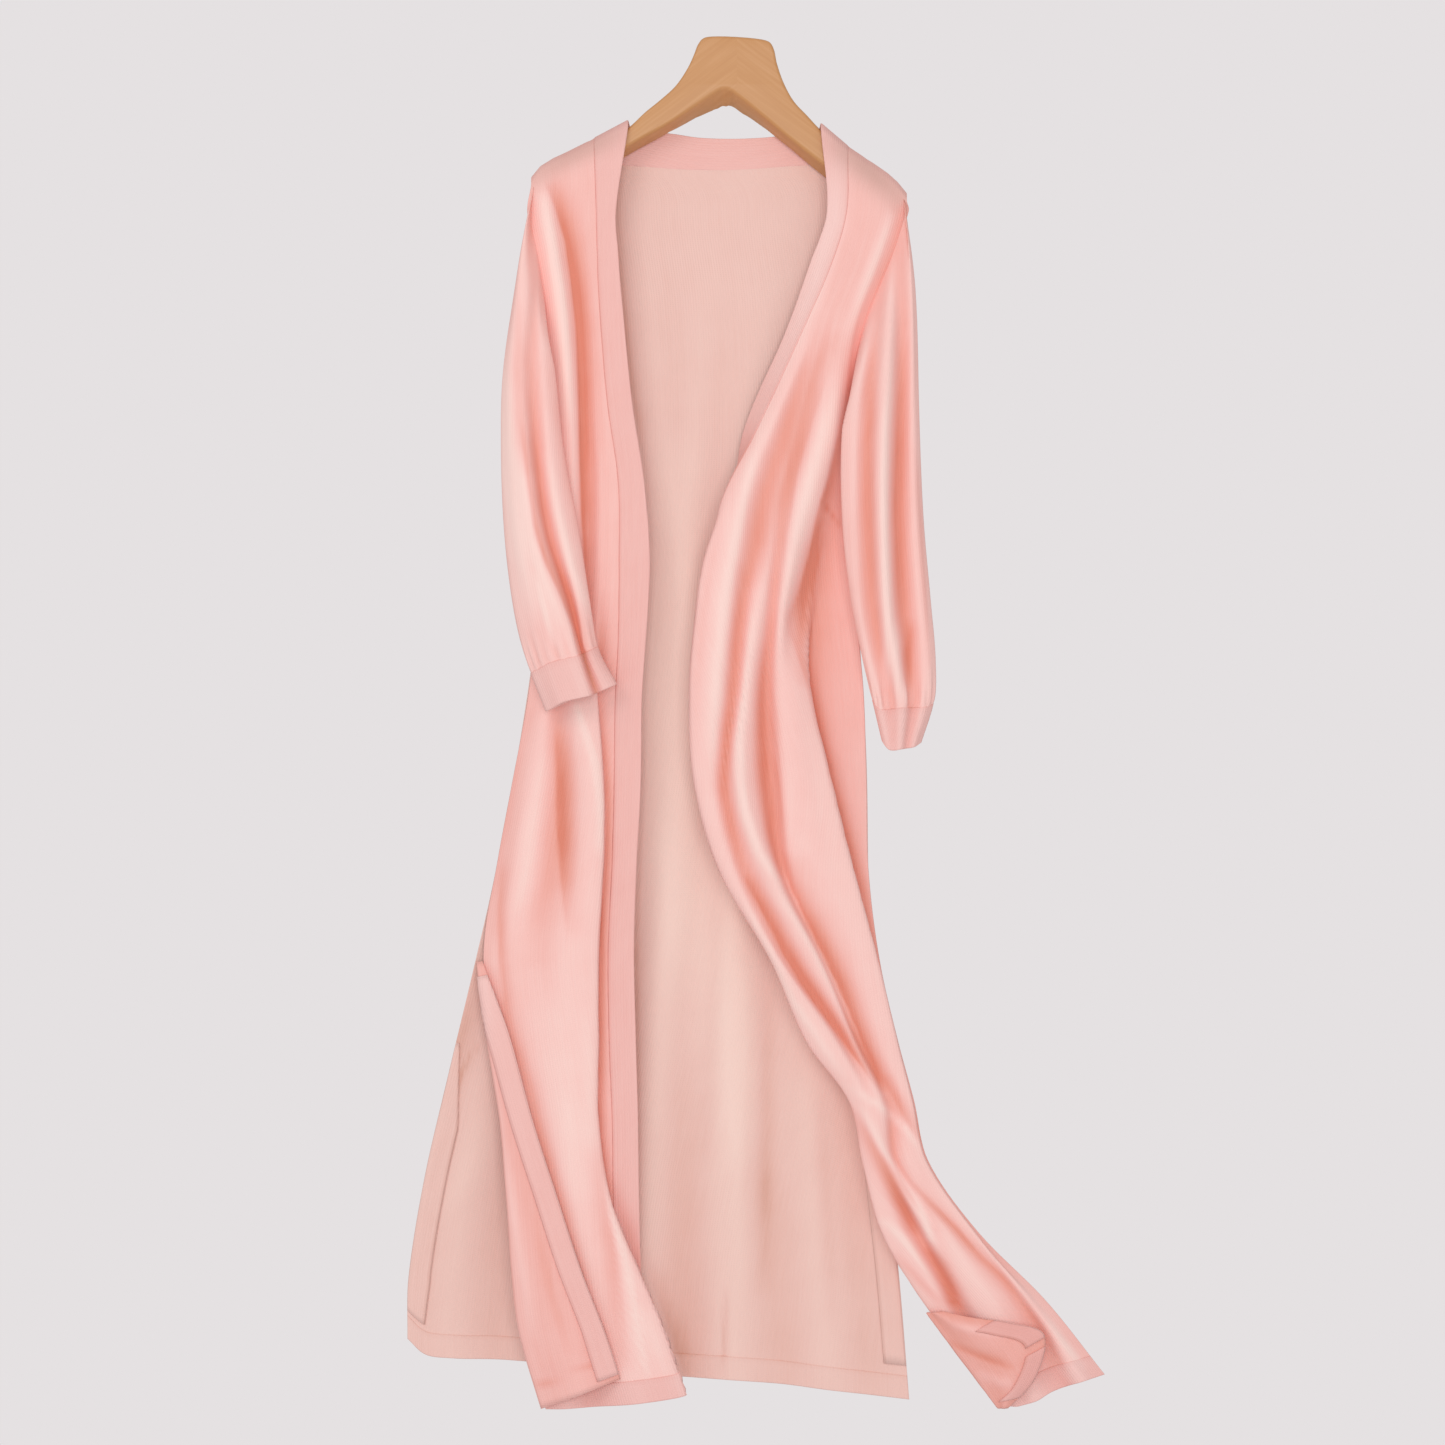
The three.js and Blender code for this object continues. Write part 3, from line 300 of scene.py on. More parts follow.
# %% Fold lines of the sleeves and the turned-over corners
SLEEVE_LEFT = dict(
  down=[370, 450, 530, 600, 650],
  folds=[
    dict(fold="outer", armhole=["tip", 177], bend=[520, 262, 14], hem=[547, 711, 28],
         across=[504, 502, 505, 513, 524], depth=[24, 27, 27, 27, 27]),
    dict(fold="outer_front", armhole=["front", 187], bend=[519, 266, 24], hem=[555, 707, 37],
         across=[507, 507, 512, 523, 535], depth=[32, 36, 38, 38, 37]),
    dict(fold="front_light", armhole=["front", 198], bend=[520, 275, 31], hem=[564, 702, 44],
         across=[512, 514, 521, 535, 548], depth=[38, 43, 46, 46, 44]),
    dict(fold="front_ridge", armhole=["front", 222], bend=[527, 290, 34], hem=[589, 696, 47],
         across=[522, 528, 540, 562, 577], depth=[41, 48, 50, 50, 48]),
    dict(fold="valley", armhole=["front", 246], bend=[535, 306, 30], hem=[597, 693, 38],
         across=[533, 538, 549, 571, 583], depth=[35, 36, 37, 37, 37]),
    dict(fold="inner_ridge", armhole=["front", 270], bend=[541, 320, 31], hem=[606, 689, 42],
         across=[545, 551, 563, 579, 589], depth=[37, 41, 43, 43, 42]),
    dict(fold="inner", armhole=["front", 297], bend=[549, 340, 26], hem=[617, 684, 33],
         across=[555, 564, 579, 590, 599], depth=[28, 29, 30, 31, 31]),
    dict(fold="back_inner", armhole=["front", 325], bend=[543, 354, 21], hem=[600, 688, 26],
         across=[545, 550, 562, 571, 580], depth=[21, 21, 22, 23, 24]),
    dict(fold="back_middle", armhole=["back", 292], bend=[531, 340, 8], hem=[575, 698, 23],
         across=[529, 530, 537, 546, 556], depth=[17, 19, 20, 20, 20]),
    dict(fold="back_outer", armhole=["back", 225], bend=[522, 300, -1], hem=[558, 706, 22],
         across=[514, 513, 518, 526, 537], depth=[14, 18, 18, 18, 19]),
    dict(fold="outer_back", armhole=["back", 190], bend=[520, 280, 5], hem=[552, 709, 24],
         across=[508, 506, 510, 518, 529], depth=[18, 21, 21, 21, 22]),
  ],
)
SLEEVE_RIGHT = dict(
  down=[430, 520, 600, 660, 700],
  folds=[
    dict(fold="outer", armhole=["tip", 193], bend=[915, 290, 18], hem=[920, 742, 25],
         across=[919, 923, 930, 935, 933], depth=[22, 22, 22, 22, 22]),
    dict(fold="outer_front", armhole=["front", 199], bend=[913, 300, 25], hem=[916, 745, 30],
         across=[917, 920, 927, 932, 930], depth=[28, 28, 28, 28, 28]),
    dict(fold="outer_ridge", armhole=["front", 207], bend=[910, 320, 30], hem=[912, 747, 35],
         across=[912, 915, 921, 926, 924], depth=[33, 33, 33, 33, 33]),
    dict(fold="outer_valley", armhole=["front", 240], bend=[900, 325, 27], hem=[905, 748, 34],
         across=[900, 898, 902, 909, 912], depth=[27, 27, 27, 28, 30]),
    dict(fold="main_ridge", armhole=["front", 262], bend=[888, 335, 38], hem=[899, 749, 39],
         across=[882, 881, 885, 894, 901], depth=[43, 43, 43, 42, 40]),
    dict(fold="inner_valley", armhole=["front", 290], bend=[876, 345, 30], hem=[893, 750, 36],
         across=[867, 868, 872, 881, 890], depth=[33, 33, 33, 33, 34]),
    dict(fold="inner_ridge", armhole=["front", 320], bend=[861, 365, 34], hem=[888, 749, 35],
         across=[853, 852, 857, 868, 877], depth=[37, 37, 37, 37, 37]),
    dict(fold="inner", armhole=["front", 365], bend=[850, 398, 26], hem=[882, 739, 29],
         across=[842, 842, 851, 863, 873], depth=[27, 27, 27, 27, 27]),
    dict(fold="back_inner", armhole=["back", 396], bend=[862, 412, 12], hem=[892, 745, 22],
         across=[860, 860, 868, 878, 885], depth=[19, 18, 18, 18, 18]),
    dict(fold="back_middle", armhole=["back", 335], bend=[884, 385, 0], hem=[903, 746, 20],
         across=[885, 887, 894, 903, 907], depth=[14, 14, 14, 14, 15]),
    dict(fold="back_outer", armhole=["back", 228], bend=[906, 330, -3], hem=[913, 744, 20],
         across=[908, 912, 918, 922, 921], depth=[12, 12, 12, 13, 14]),
    dict(fold="outer_back", armhole=["back", 203], bend=[911, 305, 6], hem=[917, 743, 22],
         across=[914, 918, 924, 929, 927], depth=[17, 17, 17, 17, 18]),
  ],
)
FLAP_LEFT = [
  dict(fold=[476, 962], edge=[482, 961], depth=4, lift=0),
  dict(fold=[486, 1035], edge=[508, 1030], depth=9, lift=1),
  dict(fold=[500, 1120], edge=[533, 1119], depth=14, lift=3),
  dict(fold=[507, 1200], edge=[559, 1199], depth=18, lift=4),
  dict(fold=[512, 1270], edge=[582, 1268], depth=20, lift=9),
  dict(fold=[519, 1330], edge=[605, 1327], depth=20, lift=12),
  dict(fold=[541, 1407], edge=[621, 1375], depth=20, lift=14),
]
FLAP_RIGHT = [
  dict(fold=[918, 1300], edge=[925, 1304], depth=26, lift=1),
  dict(fold=[937, 1326], edge=[966, 1313], depth=26, lift=8),
  dict(fold=[954, 1349], edge=[1009, 1319], depth=25.5, lift=12),
  dict(fold=[970.5, 1371], edge=[1042, 1330], depth=25, lift=13),
  dict(fold=[985, 1390], edge=[1034, 1372], depth=24.5, lift=10),
  dict(fold=[997, 1406], edge=[1007, 1405], depth=24, lift=3),
]

# %% [markdown]
# The tables become fold lines. A front or back starts on the crest of the hanger's arm, so each of
# its lines first bends down over the wood, and then takes the inner heights of its table. A
# sleeve's line starts at its height on the side of the front or the back, so the two stay joined.

# %% From tables to fold lines
def front_lines(table, rows=None):
    """Fold lines of a front: over the hanger's arm, then down the inner heights to the hem."""
    lines = []
    for fold in rows or table["folds"]:
        crest = [[fold["across"][0], fold["top"] + drop, depth]
                 for drop, depth in zip(CREST_DROP, CREST_DEPTH)]
        inner = [list(station) for station in zip(fold["across"][1:], table["down"], fold["depth"])]
        hem = [fold["across"][-1], fold["hem"], fold["depth"][-1]]
        lines.append(FoldLine(crest + inner + [hem]))
    return lines


def mix(a, b, share):
    """The place between a and b at a share of the way."""
    return a + (b - a) * share


def back_lines():
    """Fold lines of the back. Those with a crest start on the hanger's arms, and the rest behind."""
    lines = []
    count = len(BACK["down"])
    for fold in BACK["folds"]:
        stations = []
        for drop, depth in zip(CREST_DROP, CREST_DEPTH):
            away = -depth if fold["crest"] else -CREST_DEPTH[-1]
            stations.append([fold["top"][0], fold["top"][1] + drop, away])
        for i, height in enumerate(BACK["down"] + [fold["hem"]]):
            across = mix(BACK["leftSide"][i], BACK["rightSide"][i], fold["share"])
            waved = BACK["middleDepth"][i] + fold["wave"] * i / count
            stations.append([across, height, mix(waved, BACK["sideDepth"][i], fold["edge"])])
        lines.append(FoldLine(stations))
    return lines


def sleeve_lines(table, front_side, back_side, outwards):
    """Fold lines of a sleeve, from the armhole over the shoulder's edge to the cuff's end."""
    lines = []
    for fold in table["folds"]:
        at, height = fold["armhole"]
        side = back_side if at == "back" else front_side
        across, _, depth = side.at([side.place_at(height)])[0]
        start_depth = {"front": depth + ARMHOLE_LAP, "back": depth - ARMHOLE_LAP, "tip": 0}[at]
        start = [across - outwards * ARMHOLE_IN, height, start_depth]
        inner = [list(station) for station in zip(fold["across"], table["down"], fold["depth"])]
        lines.append(FoldLine([start, fold["bend"]] + inner + [fold["hem"]]))
    return lines


LEFT_LINES = front_lines(FRONT_LEFT)
RIGHT_LINES = front_lines(FRONT_RIGHT)
LEFT_EDGE = front_lines(FRONT_LEFT, [BAND_LEFT_EDGE])[0]
RIGHT_EDGE = front_lines(FRONT_RIGHT, [BAND_RIGHT_EDGE])[0]
BACK_LINES = back_lines()
SLEEVE_LINES = {
    "left": sleeve_lines(SLEEVE_LEFT, LEFT_LINES[0], BACK_LINES[0], -1),
    "right": sleeve_lines(SLEEVE_RIGHT, RIGHT_LINES[0], BACK_LINES[-1], 1),
}
print("fold lines:", len(LEFT_LINES), "left,", len(RIGHT_LINES), "right,", len(BACK_LINES), "back")

# %% [markdown]
# Colour helpers come first. Hex colours are sRGB and become linear in one function, and one small
# helper adds a node. The knit is thin, so its colour is deeper where layers meet. Shade and light
# are painted into that colour too: pale on the ridges, as if lit, and coral down in the folds,
# where shade falls. Each piece carries both as one number, worked out from its own shape further down.

# %% Colours and nodes
def linear(hex_colour):
    """An sRGB colour such as #f2b8ae as linear red, green, blue and alpha."""
    parts = [int(hex_colour[i:i + 2], 16) / 255 for i in (1, 3, 5)]
    return [c / 12.92 if c <= 0.04045 else ((c + 0.055) / 1.055) ** 2.4 for c in parts] + [1.0]


def add_node(tree, kind, inputs=None, **settings):
    """A node with its settings, and its inputs set to a value or linked to a socket."""
    node = tree.nodes.new(kind)
    for key, value in settings.items():
        setattr(node, key, value)
    for key, value in (inputs or {}).items():
        if isinstance(value, bpy.types.NodeSocket):
            tree.links.new(value, node.inputs[key])
        else:
            node.inputs[key].default_value = value
    return node


def new_material(name):
    """A material with a Principled shader on its surface, its nodes and that shader."""
    material = bpy.data.materials.new(name)
    material.use_nodes = True
    tree = material.node_tree
    tree.nodes.clear()
    output = tree.nodes.new("ShaderNodeOutputMaterial")
    shader = tree.nodes.new("ShaderNodeBsdfPrincipled")
    tree.links.new(shader.outputs["BSDF"], output.inputs["Surface"])
    return material, tree, shader


def ramp(tree, factor, stops):
    """Colour ramp from (place, hex colour) pairs."""
    node = add_node(tree, "ShaderNodeValToRGB", {"Fac": factor})
    elements = node.color_ramp.elements
    while len(elements) < len(stops):
        elements.new(0.5)
    for element, (place, colour) in zip(elements, stops):
        element.position = place
        element.color = linear(colour)
    return node.outputs["Color"]


def maths(tree, operation, *values):
    """The result of a Math node on numbers and sockets."""
    return add_node(tree, "ShaderNodeMath", dict(enumerate(values)), operation=operation).outputs[0]


# %% [markdown]
# The cardigan is knitted from fine viscose yarn on a flat machine. To the eye that gives a matt
# cloth with a soft bloom where it turns away, upright columns of stitches (wales) and, less
# clearly, rows (courses), and a colour that is never quite even. The wales are a fine ripple across
# the cloth's own map, which is laid in real metres. They are drawn twice as wide as real ones
# (1.3 mm), because closer lines would only shimmer in a picture of the whole garment.

# %% Knit material
WALE = 2.6                        # mm from one column of stitches to the next
COURSE = 0.8 * WALE               # mm from one row to the next
COURSE_SHARE = 0.35               # how high the rows stand, against the columns
STITCH_HEIGHT = 0.3               # mm
STREAKS = (420, 14, 1)            # uneven yarn: thin streaks along the wales, so many to the metre
STREAK_TONE = 0.16
CLOUDS = 28                       # uneven dye and stretch: soft patches, so many to the metre
CLOUD_TONE = 0.12
KNIT_ROUGHNESS = 0.85
YARN_IOR = 1.47                   # viscose
SHEEN, SHEEN_ROUGHNESS, SHEEN_TINT = 0.25, 0.5, "#fde3db"
WOOD_THROUGH_KNIT = "#c9a195"     # where the hanger lies right behind the cloth


def knit_material(name, stops, relief=0.25):
    """Knit whose colour runs through stops, from pale to deep, as the tone with its painted shade rises."""
    material, tree, shader = new_material(name)
    place = add_node(tree, "ShaderNodeUVMap", uv_map="cloth").outputs["UV"]
    parts = add_node(tree, "ShaderNodeSeparateXYZ", {"Vector": place})
    # the tone attribute carries painted shade in the folds and painted highlights on the ridges, with the
    # deeper colour of layers
    tone_and_painted_shade = add_node(tree, "ShaderNodeAttribute", attribute_name="tone_and_painted_shade").outputs["Fac"]
    drawn_out = add_node(tree, "ShaderNodeMapping", {"Vector": place, "Scale": STREAKS})
    streaks = add_node(tree, "ShaderNodeTexNoise",
                       {"Vector": drawn_out.outputs["Vector"], "Scale": 1.0, "Detail": 3.0})
    clouds = add_node(tree, "ShaderNodeTexNoise", {"Vector": place, "Scale": CLOUDS, "Detail": 2.0})
    for noise, size in ((streaks, STREAK_TONE), (clouds, CLOUD_TONE)):
        shift = maths(tree, "MULTIPLY_ADD", noise.outputs["Fac"], size, -size / 2)
        tone_and_painted_shade = maths(tree, "ADD", tone_and_painted_shade, shift)
    ripples = []
    for direction, width in (("X", WALE), ("Y", COURSE)):
        turns = maths(tree, "MULTIPLY", parts.outputs[direction], 2 * math.pi / (width * MM))
        ripples.append(maths(tree, "SINE", turns))
    height = maths(tree, "MULTIPLY_ADD", ripples[1], COURSE_SHARE, ripples[0])
    bump = add_node(tree, "ShaderNodeBump",
                    {"Height": height, "Strength": relief, "Distance": STITCH_HEIGHT * MM})
    backed = add_node(tree, "ShaderNodeAttribute", attribute_name="backed").outputs["Fac"]
    colour = add_node(tree, "ShaderNodeMixRGB", {"Fac": backed, "Color1": ramp(tree, tone_and_painted_shade, stops),
                                                 "Color2": linear(WOOD_THROUGH_KNIT)})
    tree.links.new(colour.outputs["Color"], shader.inputs["Base Color"])
    tree.links.new(bump.outputs["Normal"], shader.inputs["Normal"])
    shader.inputs["Roughness"].default_value = KNIT_ROUGHNESS
    shader.inputs["IOR"].default_value = YARN_IOR
    shader.inputs["Sheen Weight"].default_value = SHEEN
    shader.inputs["Sheen Roughness"].default_value = SHEEN_ROUGHNESS
    shader.inputs["Sheen Tint"].default_value = linear(SHEEN_TINT)
    return material


# each ramp runs from the pale of a lit ridge to the coral of a shaded fold: painted highlight to painted
# shade
FINE_KNIT = knit_material("fine viscose knit, pink", [
    (0, "#ffddd4"), (0.25, "#fdcdc5"), (0.5, "#f7bab0"), (0.75, "#efa595"), (1, "#e28a74")])
DOUBLE_KNIT = knit_material("doubled viscose knit, pink", [
    (0, "#fcd6cf"), (0.4, "#f5c0b8"), (0.6, "#efb0a7"), (1, "#d88c76")], relief=0.35)
# the inside of the back is the same knit as the fronts, painted a little darker and more beige as the shade
# it lies in behind them
INSIDE_KNIT_IN_PAINTED_SHADE = knit_material("fine viscose knit, inside of the back, painted in shade", [
    (0, "#fadace"), (0.4, "#f1c9be"), (0.6, "#eabdb0"), (1, "#cc8b6e")])
print("knit materials:", FINE_KNIT.name, "/", DOUBLE_KNIT.name, "/", INSIDE_KNIT_IN_PAINTED_SHADE.name)

# %% [markdown]
# A grid of points becomes cloth in four steps. First its sections get points at even distances,
# with two more close to each open rim, where the wall will turn round.

# %% Even grids
RIM_STEPS = (0.7, 1.8)    # mm from an open rim to the points added there
RIM_SHARE = 0.3           # but no further than this share of the way to the next point
FEWEST_COLUMNS = 5


def even_columns(grid, spacing, closed=False):
    """The same sections with points at even distances along each of them."""
    looped = np.concatenate([grid, grid[:, :1]], axis=1) if closed else grid
    lengths = np.linalg.norm(np.diff(looped, axis=1), axis=-1)
    travelled = np.concatenate([np.zeros((len(grid), 1)), np.cumsum(lengths, axis=1)], axis=1)
    count = max(int(travelled[:, -1].mean() / spacing), FEWEST_COLUMNS)
    rows = []
    for row, at in zip(looped, travelled):
        places = np.linspace(0, at[-1], count + 1)
        rows.append(np.stack([np.interp(places, at, row[:, k]) for k in range(3)], axis=-1))
    even = np.stack(rows)
    return even[:, :-1] if closed else even


def with_rims(grid, *axes):
    """The grid with more lines of points close to both of its ends along each axis."""
    def near(border, inner):
        gap = np.linalg.norm(inner - border, axis=-1).mean()
        shares = [min(step / gap, RIM_SHARE * (n + 1)) for n, step in enumerate(RIM_STEPS)]
        return np.stack([mix(border, inner, share) for share in shares])

    for axis in axes:
        grid = np.moveaxis(grid, axis, 0)
        first, last = near(grid[0], grid[1]), near(grid[-1], grid[-2])[::-1]
        grid = np.concatenate([grid[:1], first, grid[1:-1], last, grid[-1:]])
        grid = np.moveaxis(grid, 0, axis)
    return grid


def normals(grid, closed=False):
    """Unit normals of a grid of sheet points, towards the viewer where columns run rightwards."""
    downwards = np.gradient(grid, axis=0)
    if closed:
        across = np.roll(grid, -1, axis=1) - np.roll(grid, 1, axis=1)
    else:
        across = np.gradient(grid, axis=1)
    n = np.cross(across, downwards)
    return n / np.maximum(np.linalg.norm(n, axis=-1, keepdims=True), 1e-9)


def along_grid(grid, axis):
    """Distance travelled along an axis of the grid, in mm."""
    lengths = np.linalg.norm(np.diff(grid, axis=axis), axis=-1)
    start = np.zeros_like(np.take(lengths, [0], axis=axis))
    return np.concatenate([start, np.cumsum(lengths, axis=axis)], axis=axis)


# %% [markdown]
# Second, its creases push it out or in. They could be sculpted, but a sculpted mesh can't be
# written down, so each is a stroke on the pattern sheet. `wide` is how far a stroke reaches to the
# left and to the right of its path, so a fold can be sharp on one side and soft on the other.
# `high` is its height in mm, negative for a trough. A third number deepens the colour where layers
# lie together, and paints shade along the crease; when negative it paints a highlight on a ridge,
# where one layer lies open. Strokes die away at both ends.
# They act on the side that faces the viewer, or with `side` -1 on the one behind.

# %% Creases and seams
FADE_AT_ENDS = 0.6     # the lower, the longer a stroke keeps its strength
FADE_EDGE_ON = 0.5     # the lower, the longer it acts on cloth that turns edge-on
# painted shade, or a painted highlight where negative: what a crease's stroke of 1 adds to the tone
PAINTED_CREASE_SHADE = 0.7          # what a crease of depth 1 adds to the tone
SEAM_TONE = 0.2        # what a seam adds, where the stitches draw the cloth in
SEAM_WIDTH = 1.6       # mm
# where the hanger's wood lies right behind the cloth
WOOD_BEHIND = [
    dict(path=[(520, 190), (548, 166), (580, 150), (606, 138), (640, 118)], wide=(12, 17), wood=0.65),
    dict(path=[(822, 118), (846, 150), (868, 168), (890, 186), (925, 214)], wide=(16, 12), wood=0.75),
]


def stroke_shares(grid, path, wide):
    """How much a stroke acts at each point of a grid, from 0 to 1."""
    flat = grid[..., :2]
    path = np.asarray(path, float)
    nearest = np.full(flat.shape[:-1], np.inf)
    travelled, leftness = np.zeros(nearest.shape), np.zeros(nearest.shape)
    for i, (a, b) in enumerate(zip(path[:-1], path[1:])):
        span = b - a
        from_a = flat - a
        t = np.clip(from_a @ span / (span @ span), 0, 1)
        away = np.linalg.norm(from_a - t[..., None] * span, axis=-1)
        closer = away < nearest
        turn = span[0] * from_a[..., 1] - span[1] * from_a[..., 0]
        travelled = np.where(closer, (i + t) / (len(path) - 1), travelled)
        leftness = np.where(closer, turn, leftness)
        nearest = np.minimum(nearest, away)
    reach = np.where(leftness > 0, wide[0], wide[1])
    return np.sin(np.pi * travelled) ** FADE_AT_ENDS * np.exp(-(nearest / reach) ** 2)


def strokes(grid, creases, key, facing, closed):
    """Sum of what all the strokes say for a key, such as their height or painted shade, at each point."""
    towards = facing * normals(grid, closed)[..., 2]
    total = np.zeros(towards.shape)
    for crease in creases:
        if key in crease:
            turned_there = np.clip(towards * crease.get("side", 1), 0, 1) ** FADE_EDGE_ON
            total += crease[key] * turned_there * stroke_shares(grid, crease["path"], crease["wide"])
    return total


def creased(grid, creases, facing=1, closed=False):
    """The grid pushed along its normals by the creases."""
    height = strokes(grid, creases, "high", facing, closed)
    return grid + facing * normals(grid, closed) * height[..., None]


def seam_lines(grid, edges):
    """Deeper colour in a thin line along the named edges."""
    across, down = along_grid(grid, 1), along_grid(grid, 0)
    away = {"left": across, "right": across[:, -1:] - across, "top": down}
    return sum((SEAM_TONE * np.exp(-(away[edge] / SEAM_WIDTH) ** 2) for edge in edges), 0.0)


# %% [markdown]
# Third, its tone is measured, and it holds painted shade: the colour deepens as a place lies below
# the cloth round it, where shade falls in a fold, and as the cloth there stands edge-on, where the
# eye looks through more yarn and the steep sides of folds are painted in shade.

# %% Tone
# painted shade in the folds, measured from each piece's own shape
TONE_REACH = 13           # mm over which the cloth round a place is averaged
TONE_DEPTH = 2.6          # mm below that average at which the colour is clearly deeper
TONE_LIMITS = (-1, 1.6)   # in such depths, how far it counts
PLAIN_TONE = 0.4          # the tone of flat cloth
# painted fold shade: what each such depth adds to the tone
PAINTED_FOLD_SHADE = 0.2          # what each such depth adds
# edge-on cloth shows more yarn, and this also paints shade on the steep sides of folds
EDGE_ON_TONE, EDGE_ON_CURVE = 0.2, 1.5


def blurred(values, sigma, axis, wrap=False):
    """Gaussian average of a grid along one axis, sigma in steps of the grid."""
    reach = max(int(3 * sigma), 1)
    weights = np.exp(-0.5 * (np.arange(-reach, reach + 1) / max(sigma, 0.3)) ** 2)
    weights /= weights.sum()
    pad = [(reach, reach) if k == axis else (0, 0) for k in range(values.ndim)]
    padded = np.pad(values, pad, mode="wrap" if wrap else "edge")
    size = values.shape[axis]
    return sum(w * np.take(padded, range(k, k + size), axis=axis) for k, w in enumerate(weights))


def tone_with_painted_fold_shade(grid, outward, closed):
    """How deep the knit's colour is at each point, from 0 on a ridge to 1 down in a fold: painted shade."""
    mean = grid
    for axis, wrap in ((1, closed), (0, False)):
        step = float(np.median(np.linalg.norm(np.diff(grid, axis=axis), axis=-1)))
        mean = blurred(mean, TONE_REACH / step, axis, wrap)
    below = np.clip(((mean - grid) * outward).sum(axis=-1) / TONE_DEPTH, *TONE_LIMITS)
    edge_on = 1 - np.abs(outward[..., 2])
    return PLAIN_TONE + PAINTED_FOLD_SHADE * below + EDGE_ON_TONE * edge_on ** EDGE_ON_CURVE


# %% [markdown]
# Last it gets a wall on both sides, thinner at the rim, so that the rim is round. A Solidify
# modifier could give the wall, but here the two sides also differ in tone: only the outer one gets
# the painted shade and highlights of its creases, the deeper colour of layers and the darker lines of
# its seams. The cloth's own map is laid in metres along its threads, and the same measure gives the
# size that the piece was cut to.

# %% Walls, and what each piece is
RIM_THINNING = 0.35    # the wall's thickness at a rim, as a share


def add_cloth(name, grid, wall, material, facing, closed, extra):
    """A mesh object from a grid of sheet points. extra is tone that only its outer side has."""
    outward = facing * normals(grid, closed)
    # painted shade in the folds, measured from the piece's own shape
    painted_fold_shade = tone_with_painted_fold_shade(grid, outward, closed)
    rows, cols = grid.shape[:2]
    half = np.full((rows, cols), wall / 2)
    half[[0, -1]] *= RIM_THINNING
    if not closed:
        half[:, [0, -1]] *= RIM_THINNING
    sides = [grid + outward * half[..., None], grid - outward * half[..., None]]
    points = on_sheet(np.concatenate([side.reshape(-1, 3) for side in sides]))
    looped = np.concatenate([grid, grid[:, :1]], axis=1) if closed else grid
    u, v = along_grid(looped, 1) * MM, along_grid(grid, 0) * MM
    faces, maps = [], []

    def quad(*corners):
        """Corners are (side, row, column), where a closed piece's last column is its first."""
        faces.append([s * rows * cols + r * cols + c % cols for s, r, c in corners])
        maps.append([(u[r, c], v[r, c % cols]) for s, r, c in corners])

    last_row, last_col = rows - 1, cols if closed else cols - 1
    for r in range(last_row):
        for c in range(last_col):
            quad((0, r, c), (0, r + 1, c), (0, r + 1, c + 1), (0, r, c + 1))
            quad((1, r, c), (1, r, c + 1), (1, r + 1, c + 1), (1, r + 1, c))
        if not closed:
            quad((0, r, 0), (1, r, 0), (1, r + 1, 0), (0, r + 1, 0))
            quad((0, r, last_col), (0, r + 1, last_col), (1, r + 1, last_col), (1, r, last_col))
    for c in range(last_col):
        quad((0, 0, c), (0, 0, c + 1), (1, 0, c + 1), (1, 0, c))
        quad((0, last_row, c), (1, last_row, c), (1, last_row, c + 1), (0, last_row, c + 1))
    corners = points[np.array(faces)]
    turned = np.cross(corners[:, 2] - corners[:, 0], corners[:, 3] - corners[:, 1])
    if (corners.mean(axis=1) * turned).sum() < 0:
        faces = [face[::-1] for face in faces]
        maps = [corner[::-1] for corner in maps]
    mesh = bpy.data.meshes.new(name)
    mesh.from_pydata(points.tolist(), [], faces)
    mesh.uv_layers.new(name="cloth").data.foreach_set("uv", np.array(maps, "f4").ravel())
    backed = strokes(grid, WOOD_BEHIND, "wood", facing, closed)
    # both sides get the painted fold shade; the outer side also gets the creases' painted shade and
    # highlights
    for key, walls in (("tone_and_painted_shade", (painted_fold_shade + extra, painted_fold_shade)), ("backed", (backed, backed))):
        values = np.clip(np.stack(walls), 0, 1).ravel()
        mesh.attributes.new(key, "FLOAT", "POINT").data.foreach_set("value", values.astype("f4"))
    mesh.shade_smooth()
    mesh.materials.append(material)
    piece = bpy.data.objects.new(name, mesh)
    bpy.context.scene.collection.objects.link(piece)
    return piece


def sew(node, grid, wall, material, creases=(), facing=1, closed=False, seams=(), layers_and_painted_shade=0.0):
    """The piece of cloth that stands for a node, hung on the frame's root; the node's own part is hidden.

    facing is -1 where the grid's columns run leftwards. The last argument is tone added to the whole outer
    side.
    """
    # the creases' strokes paint shade along folds and highlights on ridges, with the deeper colour where
    # layers lie together
    extra = layers_and_painted_shade + PAINTED_CREASE_SHADE * strokes(grid, creases, "layers_and_painted_shade", facing, closed) + seam_lines(grid, seams)
    piece = add_cloth(f"{node}_cloth", grid, wall, material, facing, closed, extra)
    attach(piece, "root")
    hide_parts(node)
